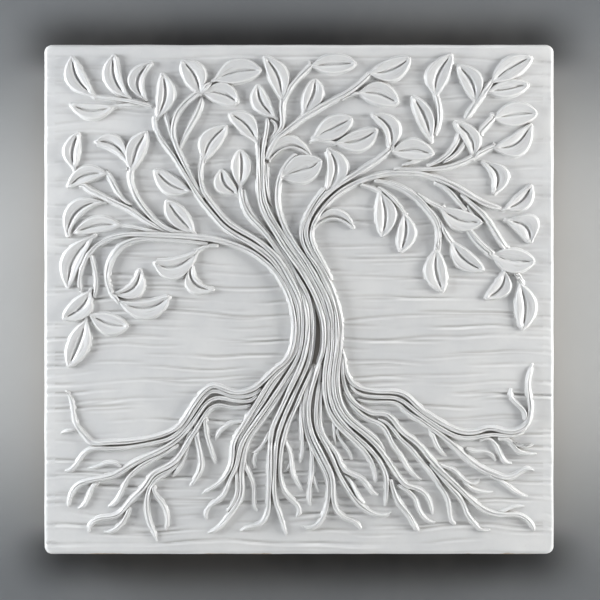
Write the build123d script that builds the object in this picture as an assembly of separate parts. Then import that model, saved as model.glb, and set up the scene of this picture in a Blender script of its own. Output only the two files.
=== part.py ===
from build123d import *
import math
import os

# Wall panel with a tree of life in clay relief, hung from two ring hangers on a pine back frame.
# Millimetres. X runs across the panel, Z up it, and -Y out of its face, towards the viewer.
# The origin is the centre of the whole object: midway across, up, and through its depth.

# ---- driving dimensions --------------------------------------------------------------------
PANEL_SIDE = 400.0        # back edge of the clay slab
SLAB_THICKNESS = 14.0
SLAB_DRAFT = 3.0          # degrees that the slab's sides lean in towards the face
SLAB_CORNER = 6.0         # radius of the slab's corners, seen from the front
SLAB_FRONT_ROUND = 3.0    # round along the edge of the face
SLAB_BACK_CHAMFER = 1.0

TRUNK_HEIGHT = 5.5        # how far the trunk's coils stand off the slab
LIMB_HEIGHT = 4.5
ROOT_HEIGHT = 4.5
LEAF_HEIGHT = 4.0
LUTING_GAP = 0.15         # space left between neighbouring coils
LEAF_GAP = 0.4            # space left round a leaf
STATION_PITCH = 8.0       # spacing of the width stations along a coil
SMALLEST_SCRAP = 3.0      # mm2: an offcut under this is thrown away
MIDRIB_WIDTH = 0.9        # the slit pressed along the middle of a leaf
MIDRIB_START = 0.22       # share of the leaf's length where the slit starts and ends
MIDRIB_END = 0.86

FRAME_SIDE = 330.0        # outside of the pine back frame
FRAME_THICKNESS = 12.0
BATTEN_WIDTH = 30.0
PAD_THICKNESS = 5.0       # rubber pads that hold the frame off the wall
PAD_RADIUS = 6.0
PAD_EDGE_ROUND = 0.8
PAD_SPREAD = 100.0        # pads stand this far either side of the middle

RING_RADIUS = 10.0        # half the inside width of the hanging ring, to the wire's centre
RING_RISE = 4.0           # straight part of the ring between its leg and its bow
RING_CORNER = 2.5
WIRE_RADIUS = 1.1
STRAP_GAUGE = 1.0
STRAP_WIDTH = 13.0
STRAP_LENGTH = 34.0
STRAP_CORNER = 3.0
LOOP_CLEARANCE = 0.05     # between the ring's leg and the strap's loop
LOOP_MOUTH = 1.6          # gap where the strap's curl stops short of its plate
HANGER_HEIGHT = 105.0     # height of the rings' hinge above the panel's middle

SCREW_RADIUS = 1.75
SCREW_LENGTH = 9.0        # in the wood
SCREW_HEAD_RADIUS = 3.5
SCREW_HEAD_HEIGHT = 1.8
SCREW_SLOT = 1.0
STRAP_HOLE_RADIUS = 2.1
STRAP_SCREW_DROPS = (7.5, 24.0)   # below the hinge
LAP_SCREW_RADIUS = 1.5
LAP_SCREW_LENGTH = 10.5
LAP_HEAD_RADIUS = 3.0
LAP_HEAD_DEPTH = 2.0
PILOT_CLEARANCE = 0.02

# ---- depth stack, from the wall to the top of the trunk ------------------------------------
TOTAL_DEPTH = PAD_THICKNESS + FRAME_THICKNESS + SLAB_THICKNESS + TRUNK_HEIGHT
WALL_Y = TOTAL_DEPTH / 2
FRAME_BACK_Y = WALL_Y - PAD_THICKNESS
SLAB_BACK_Y = FRAME_BACK_Y - FRAME_THICKNESS
SLAB_FRONT_Y = SLAB_BACK_Y - SLAB_THICKNESS

os.makedirs("parts", exist_ok=True)


def write(name, *solids):
    """Write one node, which holds one or more separate solids."""
    shape = solids[0] if len(solids) == 1 else Compound(children=list(solids))
    export_step(shape, "parts/" + name + ".step")


# ---- outlines on the slab's face -----------------------------------------------------------
def at(x, z):
    return Vector(x, SLAB_FRONT_Y, z)


def blend_widths(widths, share):
    """Width at a share of the way along, from widths given at even steps."""
    place = share * (len(widths) - 1)
    step = min(int(place), len(widths) - 2)
    return widths[step] + (widths[step + 1] - widths[step]) * (place - step)


def coil_face(points, widths, grow=0.0):
    """A hand-rolled coil seen from the front: a ribbon of changing width with round ends."""
    spine = Spline(*[at(x, z) for x, z in points])
    count = max(3, round(spine.length / STATION_PITCH))
    left, right, middle, along = [], [], [], []
    for station in range(count + 1):
        share = station / count
        point = spine.position_at(share)
        forward = spine.tangent_at(share)
        across = Vector(-forward.Z, 0, forward.X) * (blend_widths(widths, share) / 2 + grow)
        left.append(point + across)
        right.append(point - across)
        middle.append(point)
        along.append(forward)
    start_cap = middle[0] - along[0] * (widths[0] / 2 + grow)
    end_cap = middle[-1] + along[-1] * (widths[-1] / 2 + grow)
    edges = [
        Spline(*left),
        ThreePointArc(left[-1], end_cap, right[-1]),
        Spline(*reversed(right)),
        ThreePointArc(right[0], start_cap, left[0]),
    ]
    return Face(Wire(edges)), middle


def leaf_face(base, tip, side, other_side, grow=0.0):
    """A leaf seen from the front: two curves from its base to its tip, each through one side."""
    length = math.dist(base, tip)
    forward = Vector(tip[0] - base[0], 0, tip[1] - base[1]) / length
    middle = (at(*side) + at(*other_side)) / 2
    reach = (at(*side) - middle).normalized() * grow
    start = at(*base) - forward * grow
    end = at(*tip) + forward * grow
    edges = [
        Spline(start, at(*side) + reach, end),
        Spline(end, at(*other_side) - reach, start),
    ]
    return Face(Wire(edges)), [start, (start + middle) / 2, middle, (middle + end) / 2, end]


def midrib_face(base, tip, side, other_side):
    """The lens-shaped slit along the middle of a leaf."""
    middle = (at(*side) + at(*other_side)) / 2
    rib = Spline(at(*base), middle, at(*tip))
    start = rib.position_at(MIDRIB_START)
    end = rib.position_at(MIDRIB_END)
    centre = rib.position_at((MIDRIB_START + MIDRIB_END) / 2)
    forward = (end - start).normalized()
    across = Vector(-forward.Z, 0, forward.X) * MIDRIB_WIDTH / 2
    edges = [ThreePointArc(start, centre + across, end), ThreePointArc(end, centre - across, start)]
    return Face(Wire(edges))


# ---- clay pieces, listed from the top of the pile to the bottom of it ----------------------
# A leaf is (base, tip, one side, the other side). A coil is (widths, points).

LEAVES = {
    "leaves_far_upper_left": [
        ((-160, 158.5), (-177, 190), (-182, 171), (-166, 174)),
        ((-133, 158), (-143, 191), (-152.5, 172), (-138.5, 174)),
        ((-118, 156), (-113.5, 185), (-134, 171), (-121.5, 171)),
        ((-143, 151), (-179, 152.5), (-161, 152.8), (-163, 140.3)),
    ],
    "leaves_upper_left": [
        ((-111, 141), (-107, 177), (-111, 159), (-96.5, 158)),
        ((-77, 160.5), (-91.5, 186.5), (-88.5, 169), (-73.5, 180)),
        ((-66, 171), (-28.5, 178.5), (-48, 188), (-48, 168.5)),
        ((-74, 161), (-47, 152.5), (-58, 170), (-63, 153)),
        ((-74, 108.5), (-55.5, 136), (-78, 124), (-63, 118)),
        ((-84, 84), (-113, 101.5), (-99, 97), (-103, 82)),
        ((-82, 51.5), (-103.5, 78), (-103, 64), (-87, 67.5)),
    ],
    "leaves_left": [
        ((-175, 102), (-171.5, 131), (-184, 114), (-171, 116)),
        ((-134.5, 108), (-159.5, 121.5), (-144, 128.5), (-146, 116)),
        ((-131, 100), (-118, 131.5), (-135.5, 117), (-120.5, 114)),
        ((-150, 98), (-181, 87), (-167, 104.5), (-165, 91)),
        ((-152, 75.5), (-179.5, 48.5), (-179, 74), (-171, 65)),
        ((-138, 57.5), (-176, 51.5), (-157, 65), (-156, 52)),
    ],
    "leaves_lower_left": [
        ((-160, 50), (-180, 8.5), (-185.5, 30), (-168, 31)),
        ((-146, 5), (-125, 24.5), (-123, 3.5), (-135, 10)),
        ((-140, -1), (-101, 3.5), (-120, -1), (-117, -15.5)),
        ((-163, 6), (-184.5, -15.5), (-175, 0), (-162, -10)),
        ((-163, -12), (-132.5, -21), (-148, -11), (-150, -27.5)),
        ((-166, -16), (-180, -53), (-180, -32), (-162.5, -34)),
        ((-79, 38), (-113, 30), (-96, 32.5), (-100, 15.5)),
        ((-82.5, 28), (-65.5, 8), (-78.5, 15), (-87, 7.5)),
    ],
    "leaves_upper_middle": [
        ((-13, 155), (-27.5, 190), (-23, 171), (-8.5, 177)),
        ((-18, 141), (-32, 168), (-37.5, 155), (-25.5, 159)),
        ((-32.5, 123), (-55, 145), (-37, 143.5), (-46, 131)),
        ((9, 182), (45.5, 184), (27, 191.5), (27, 176)),
        ((4, 145), (12.5, 172.5), (3, 159), (19.5, 161)),
        ((-46, 88.5), (-46, 117.5), (-52.5, 101), (-37, 104)),
        ((-47, 81), (-60.5, 102), (-66, 88), (-53, 94)),
    ],
    "leaves_middle": [
        ((-25, 104), (10.8, 109), (-9, 128), (-8, 118)),
        ((-14, 95), (18.5, 108), (2, 113), (6, 91)),
        ((21, 84), (21.5, 117.5), (22, 101), (38.5, 103)),
        ((12, 126), (42, 141), (25, 143), (33, 127)),
        ((29, 122), (62, 133), (44, 131.5), (50, 116)),
        ((12, 56), (43, 54.5), (28, 71), (25, 62)),
    ],
    "leaves_upper_right": [
        ((55, 176), (87.5, 188.5), (68, 186.5), (75, 170.5)),
        ((46.5, 161), (78.5, 152.5), (63, 170), (60, 152)),
        ((70, 116), (55.5, 144), (66, 131), (78.5, 137)),
        ((107, 159), (119.5, 192), (98.5, 172), (116, 171)),
        ((103, 124), (88, 159), (91.5, 141), (104.5, 145)),
        ((72, 114.5), (106, 113), (88, 125.5), (90, 108.5)),
        ((136, 110.5), (120.5, 139), (128, 124), (142, 126)),
    ],
    "leaves_far_upper_right": [
        ((138, 154), (123, 183), (128.5, 165), (143, 173)),
        ((150, 169), (182.5, 189.5), (162, 188.5), (169, 173)),
        ((147, 161.5), (180, 167.5), (163, 171.5), (163, 157.5)),
        ((152, 141), (186.5, 145), (169, 154), (166, 135)),
        ((151, 118), (181.5, 137.5), (168, 129), (173, 112)),
    ],
    "leaves_right": [
        ((143, 106.5), (151, 82), (164, 98), (149.5, 97)),
        ((160, 70), (181.5, 90), (168, 79.5), (180, 73)),
        ((162, 62), (180.5, 43.5), (186, 63), (169, 54)),
        ((63, 84), (64.5, 48.5), (59.5, 66), (76.5, 67)),
        ((82, 66), (79, 36.5), (76.5, 52), (91.5, 53)),
        ((110, 71), (144, 60), (127, 70), (122, 54)),
    ],
    "leaves_lower_right": [
        ((107.5, 39), (112.5, 5), (97.5, 22), (115, 24)),
        ((119, 45), (145, 22), (132, 38), (122, 27)),
        ((151, 35), (184.5, 29.5), (166, 40), (163, 21)),
        ((160, 22), (145, 0), (151.5, 12), (166, 9)),
        ((172, 13), (174, -24), (168.5, -3), (185.5, -6)),
    ],
}

# Each trunk coil runs from a branch, down through the waist, to the end of a root.
TRUNK = {
    "trunk_coil_1": [((2.6, 3, 4.4, 4.6, 3.6, 3.4, 3.6, 3.6, 3.4, 3.4, 3.8, 1.6), (
        (-170, 6), (-171.5, 14), (-169.5, 24), (-165.5, 33), (-159.5, 40.5), (-151, 46),
        (-141, 49.5), (-128, 50.8), (-115, 50.5), (-100, 49.8), (-84, 48.8), (-68, 47), (-52, 43),
        (-40, 38.5), (-29, 31.5), (-20, 23), (-12.5, 12), (-8, 3), (-5, -8), (-3.4, -20),
        (-4, -31), (-6.5, -41), (-11.5, -48.5), (-18.5, -54.5), (-25.5, -61.5), (-33, -68),
        (-41, -71.5), (-49, -72.5), (-59, -69.5), (-67, -67.5), (-73, -70.5), (-79.5, -78),
        (-86, -88), (-93, -98), (-102, -104), (-113, -107.5), (-126, -110), (-140, -111.5),
        (-153, -112), (-161, -111.5), (-168, -105), (-174, -97), (-176, -87), (-177.5, -79),
        (-182.5, -70.5)))],
    "trunk_coil_2": [((3, 3, 3.2, 3.4, 4, 4.6, 3.4, 3, 3, 3.4, 3.6, 3.6, 3.2, 1.8), (
        (-112.5, 141), (-110.5, 130), (-105, 121), (-98, 112), (-91.5, 101), (-84.5, 89.5),
        (-76.5, 77.5), (-68, 67), (-59.5, 57.5), (-50, 50.5), (-39.5, 44.5), (-29.5, 38),
        (-20.5, 30), (-13.5, 20), (-7.7, 10), (-3.2, 0), (-0.7, -10), (-0.2, -20), (-0.9, -31),
        (-3, -41), (-8, -48.5), (-14.5, -55.5), (-21.5, -63), (-27, -71), (-31.5, -78.5),
        (-36, -86), (-41, -94), (-46, -102), (-50, -109), (-51.8, -117), (-52, -125),
        (-53.5, -131), (-57.5, -138), (-64, -144.5), (-70, -148), (-75, -151.5)))],
    "trunk_coil_3": [((3, 3.2, 3.4, 3.8, 4.4, 4.4, 3.8, 3, 3, 3.4, 3.4, 3.4, 3, 1.8), (
        (-75, 109), (-77, 99), (-76, 88.5), (-71.5, 79), (-64.5, 70), (-57, 61.5), (-48, 55),
        (-38, 49.5), (-27.5, 42.5), (-18.5, 34), (-11.5, 24.5), (-6, 14.5), (-1.5, 5), (1.4, -5),
        (2.7, -16), (2.5, -28), (1, -39), (-2, -47.5), (-7, -56), (-12.7, -65), (-18.5, -73.5),
        (-24.5, -82.5), (-31, -91.5), (-37, -100), (-42.5, -108.5), (-46, -117), (-48, -126),
        (-50.5, -134), (-54, -141), (-57, -149), (-61.5, -155.5), (-67.5, -159.5),
        (-71.5, -163.5), (-72, -171)))],
    "trunk_coil_4": [((3, 3.4, 3.4, 3.4, 4, 4.4, 4.2, 4, 4, 4, 3.8, 3.6, 3.4, 2), (
        (-46, 87), (-44.5, 78), (-41.5, 69), (-34.5, 60), (-26, 51), (-19, 41), (-12, 31),
        (-6.3, 21), (-1.5, 11), (3, 2), (5.8, -8), (6.6, -19), (6.4, -31), (4.7, -41), (2, -50),
        (-1.8, -59), (-6.2, -68), (-10.8, -78), (-15.2, -88), (-19.5, -97.5), (-22, -107.5),
        (-22.6, -119), (-22.7, -131), (-23, -143), (-23.6, -155), (-23.8, -163), (-26.5, -170.5),
        (-32, -176), (-39, -177.5), (-45, -180.5)))],
    "trunk_coil_5": [((3, 3.2, 3.4, 3.2, 3, 3, 3.6, 3.8, 3.6, 3.4, 1.8), (
        (-43, 84), (-41, 76), (-37.5, 67.5), (-30.5, 58.5), (-22, 49), (-15, 39.5), (-8.5, 30),
        (-3, 20.5), (2.8, 11), (7, 2.5), (9.6, -8), (10.4, -19), (10, -31), (8.9, -41),
        (6.5, -51), (2.8, -60), (-1.5, -69.5), (-6, -79), (-10, -88), (-13.5, -97),
        (-16.5, -106.5), (-18.3, -117), (-19, -128), (-19.5, -139), (-19.3, -150), (-18, -159),
        (-15, -167.5), (-12.5, -175.5), (-10, -183)))],
    "trunk_coil_6": [((3, 3.2, 3.6, 4, 4.4, 4.2, 3.6, 3.4, 3.2, 3.4, 4, 4, 3.6, 1.8), (
        (-32, 123), (-31.7, 111), (-31.6, 99), (-31.4, 88), (-30.5, 78), (-27.5, 68),
        (-22.5, 58.5), (-16.5, 49), (-10.3, 39.5), (-3.9, 30.5), (2.5, 21), (8.3, 11),
        (13, 1.5), (16.6, -8), (19.3, -19), (19.6, -30), (18.8, -40), (16, -49.5), (13.2, -59),
        (10.5, -68.5), (8.3, -78), (7.5, -88), (8.3, -97), (11, -106.5), (16, -117),
        (21.5, -128), (25.8, -138), (26.7, -149), (27.3, -158), (30.5, -166), (37.5, -171),
        (43.5, -173.5), (48, -178.5)))],
    "trunk_coil_7": [((3.2, 3.2, 3.2, 3.4, 4, 4.6, 4, 3.4, 3.2, 3.2, 3.4, 4, 3.6, 1.8), (
        (-24.5, 140), (-25.5, 130), (-27.3, 120), (-28.2, 110), (-28.4, 99), (-28, 88),
        (-27, 78.5), (-23.8, 69), (-18.8, 59.5), (-12.8, 50), (-6.2, 40), (0.3, 30.5),
        (6.5, 21), (12, 11.5), (16.8, 2), (20.2, -8), (22.8, -19), (23, -30), (22.3, -41),
        (20.5, -52), (19.7, -63), (20.2, -74), (22.5, -85), (28.5, -95.5), (36.5, -104.5),
        (45, -112), (52, -119.5), (57, -127.5), (59.5, -135.5), (60, -142.5)))],
    "trunk_coil_8": [((3.4, 3.8, 4.2, 4.4, 4.4, 4, 3.4, 3.3, 3.3, 3.6, 4, 3.6, 2), (
        (-3, 112), (-10, 103.5), (-15, 94), (-17, 83.5), (-16.5, 72.5), (-13.5, 61.5),
        (-8.8, 51.5), (-3, 42), (3.5, 32.5), (9.5, 23.5), (15, 14), (20, 4.5), (23.8, -6),
        (26, -18), (26.3, -30), (25.6, -41), (24, -52), (23.2, -63), (24, -74), (27, -85),
        (33.5, -95.5), (42, -104.5), (52, -113.5), (60.5, -122.5), (66, -131.5), (68.5, -141),
        (68.5, -151), (67.5, -160.5)))],
    "trunk_coil_9": [((3, 3.2, 3.2, 3.4, 3.6, 3.6, 3.6, 3.6, 3.6, 3.8, 4, 3.4, 2), (
        (19.5, 86), (13, 77.5), (7, 68), (3, 58.5), (1.8, 49.5), (4, 41), (9, 32.5),
        (14.3, 24.5), (19, 15.5), (23.5, 6), (27, -4.5), (29.5, -17), (29.8, -29), (28.8, -41),
        (27.3, -52), (26.7, -63), (27.7, -74), (31, -84.5), (38, -94.5), (47.5, -102.5),
        (57, -110.5), (65, -120), (71, -129), (77, -138), (84, -145), (92, -147.8),
        (98, -151.5), (102, -158.5), (104, -167)))],
    "trunk_coil_10": [((3.6, 4, 4, 3.8, 3.4, 3.2, 3.2, 3, 3, 3.4, 3.6, 3.2, 2.4), (
        (72, 118), (63, 110), (53, 103.5), (42, 96.5), (31, 90), (21, 81.5), (12.5, 71.5),
        (7.3, 61), (5.5, 50.5), (8, 41.5), (12.5, 33), (17.5, 24.5), (22.5, 15), (27, 5),
        (30.5, -6), (32.7, -18), (32.5, -30), (31.8, -41), (30.5, -52), (30.2, -63),
        (31.3, -74), (35, -85), (43, -95), (53, -102.5), (61.5, -110), (66, -119)))],
    "trunk_coil_11": [((3, 4.4, 4.6, 4.4, 4.2, 4, 3.6, 3.4, 3.2, 2), (
        (158, 71), (147, 74), (136, 79.5), (125.5, 86), (114.5, 91.5), (102, 96), (88, 98),
        (73, 98), (58, 95.5), (46, 91.5), (34.5, 85.5), (24.5, 77.5), (17, 68.5), (12, 59.5),
        (9.5, 50), (12, 41), (16, 33), (21, 24), (25, 16)))],
}

LIMBS = {
    "limb_left": [
        ((3, 2.8, 2.4), ((-162, 33), (-160, 26), (-158.3, 17), (-158.3, 9), (-160, 3))),
        ((2.5, 3.4, 4, 4.4, 4, 3), (
            (-72, 43.5), (-90, 45.5), (-106, 47), (-120, 47.3), (-131, 45.5), (-139.5, 41),
            (-145.5, 33.5), (-149, 24), (-149.5, 15), (-146.5, 6.5), (-141, -1))),
        ((3, 2.6), ((-64, 42), (-72, 41.5), (-79, 38))),
    ],
    "limb_far_left": [
        ((3.4, 3.6, 3.8, 3.4, 2.4), (
            (-131, 101), (-131.5, 93), (-128.5, 83), (-123, 73.5), (-115.5, 64.5), (-106, 57),
            (-95, 52.5), (-82, 51.3))),
        ((4, 4.2, 3.8, 3.4, 2), (
            (-169, 90), (-160, 83.5), (-150, 78.5), (-139, 73.5), (-128.5, 68), (-118.5, 61),
            (-108, 55.3), (-97, 52))),
        ((3.4, 3, 2.2), ((-149, 97), (-144.5, 89), (-139.5, 80.5), (-131, 74))),
        ((3, 2.6, 1.8), ((-138, 57.5), (-127, 56), (-115, 53.5), (-104, 51.8))),
    ],
    "limb_upper_left": [
        ((4, 4.2, 4, 3.6, 3), (
            (-69, 168.5), (-78.5, 161), (-88, 153.5), (-95, 144.5), (-98, 133.5),
            (-96.5, 122.5), (-92, 111), (-86.5, 100), (-80.5, 89), (-75.5, 80.5))),
        ((3, 4, 3.6, 2), (
            (-76, 157), (-77.5, 149.5), (-82.5, 139), (-88.5, 128), (-93.5, 117.5))),
        ((2.6, 2.6), ((-104, 143.5), (-101, 134), (-98.5, 125))),
        ((2, 2.6, 3, 3), (
            (-159, 158.5), (-150, 157.3), (-140, 156), (-128, 154), (-115, 150.5))),
        ((2.4, 2.2), ((-142, 151), (-132, 151.8), (-122, 151.8))),
    ],
    "limb_upper_middle": [
        ((3.6, 4, 4.2, 4.2, 3), (
            (54, 174.5), (45, 166), (36, 160), (26, 155), (14, 148.5), (3, 141.5),
            (-6, 134.5), (-14.5, 127.5), (-21, 119.5), (-25, 110.5))),
        ((3.4, 3.6, 4, 4, 3), (
            (9, 182), (-1, 172), (-8.5, 162.5), (-13, 152.5), (-13, 142.5), (-13.5, 134),
            (-19, 126), (-23.5, 117))),
        ((3.2, 3, 1.8), ((-25.5, 103), (-25, 92), (-24, 82), (-21, 73))),
        ((2.6, 2.2), ((47, 161), (41, 160), (34, 156.5))),
        ((2.6, 2.6, 2), ((-21.5, 139.5), (-17.8, 134.5), (-20.5, 127), (-24.5, 120.5))),
        ((1.8, 2.6, 2), ((8, 122.5), (14, 124.5), (21, 123.5), (30, 122))),
    ],
    "limb_upper_right": [
        ((3.2, 4, 4, 3, 2), (
            (151, 118.5), (140, 113.5), (129.5, 108), (117, 103.5), (103, 101.5),
            (89, 101.5), (75, 101.5))),
        ((3.4, 3.6, 2.4), ((124.5, 126.5), (119.5, 117), (111.5, 109.5), (101, 104.5))),
        ((3.6, 2.6), ((128, 120), (121.5, 112.5), (113, 107))),
        ((3, 2.2), ((96.5, 111.5), (90, 107.5), (81, 104.8))),
        ((3.6, 4, 4.2), ((150, 169), (143, 159.5), (136.5, 150.5), (131, 142.5))),
        ((4, 4.4), ((152, 141.5), (147, 136.5), (142, 131.5))),
        ((3.4, 3.4, 2.4), ((107, 159), (109, 150), (109.3, 140), (106.5, 130))),
    ],
    "limb_right": [
        ((4, 4.6, 4.6, 4, 3), (
            (107.5, 39), (109, 48), (108, 58), (102.5, 67.5), (94.5, 76.5), (84.5, 84.5),
            (72.5, 90), (60, 92.5))),
        ((3, 2.6), ((111, 71.5), (102, 75.5), (93, 81))),
        ((3.6, 3.6, 2.6), ((119, 44.5), (114.5, 51), (109.5, 60), (105, 67))),
        ((2.6, 2.2), ((63, 84.5), (57, 87.3), (49, 89.5))),
        ((2.4, 2.6, 2), ((82, 67), (77, 74), (70, 81.5), (62.5, 87))),
        ((3, 3.4, 2.6), ((129, 70.5), (123.5, 77.5), (116.5, 85), (107, 91))),
        ((4.2, 4.4, 4, 3), (
            (160.5, 40.5), (155.5, 48.5), (150, 57.5), (143.5, 66), (135, 74), (127, 81))),
        ((4.6, 5, 4), ((153, 34), (146.5, 38.5), (139.5, 45), (133.5, 53))),
        ((2.2, 2.2), ((134.5, 67), (133, 70), (131.5, 73))),
        ((4, 3.4), ((173, 13), (171.5, 17), (169.5, 20.5))),
    ],
}

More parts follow.
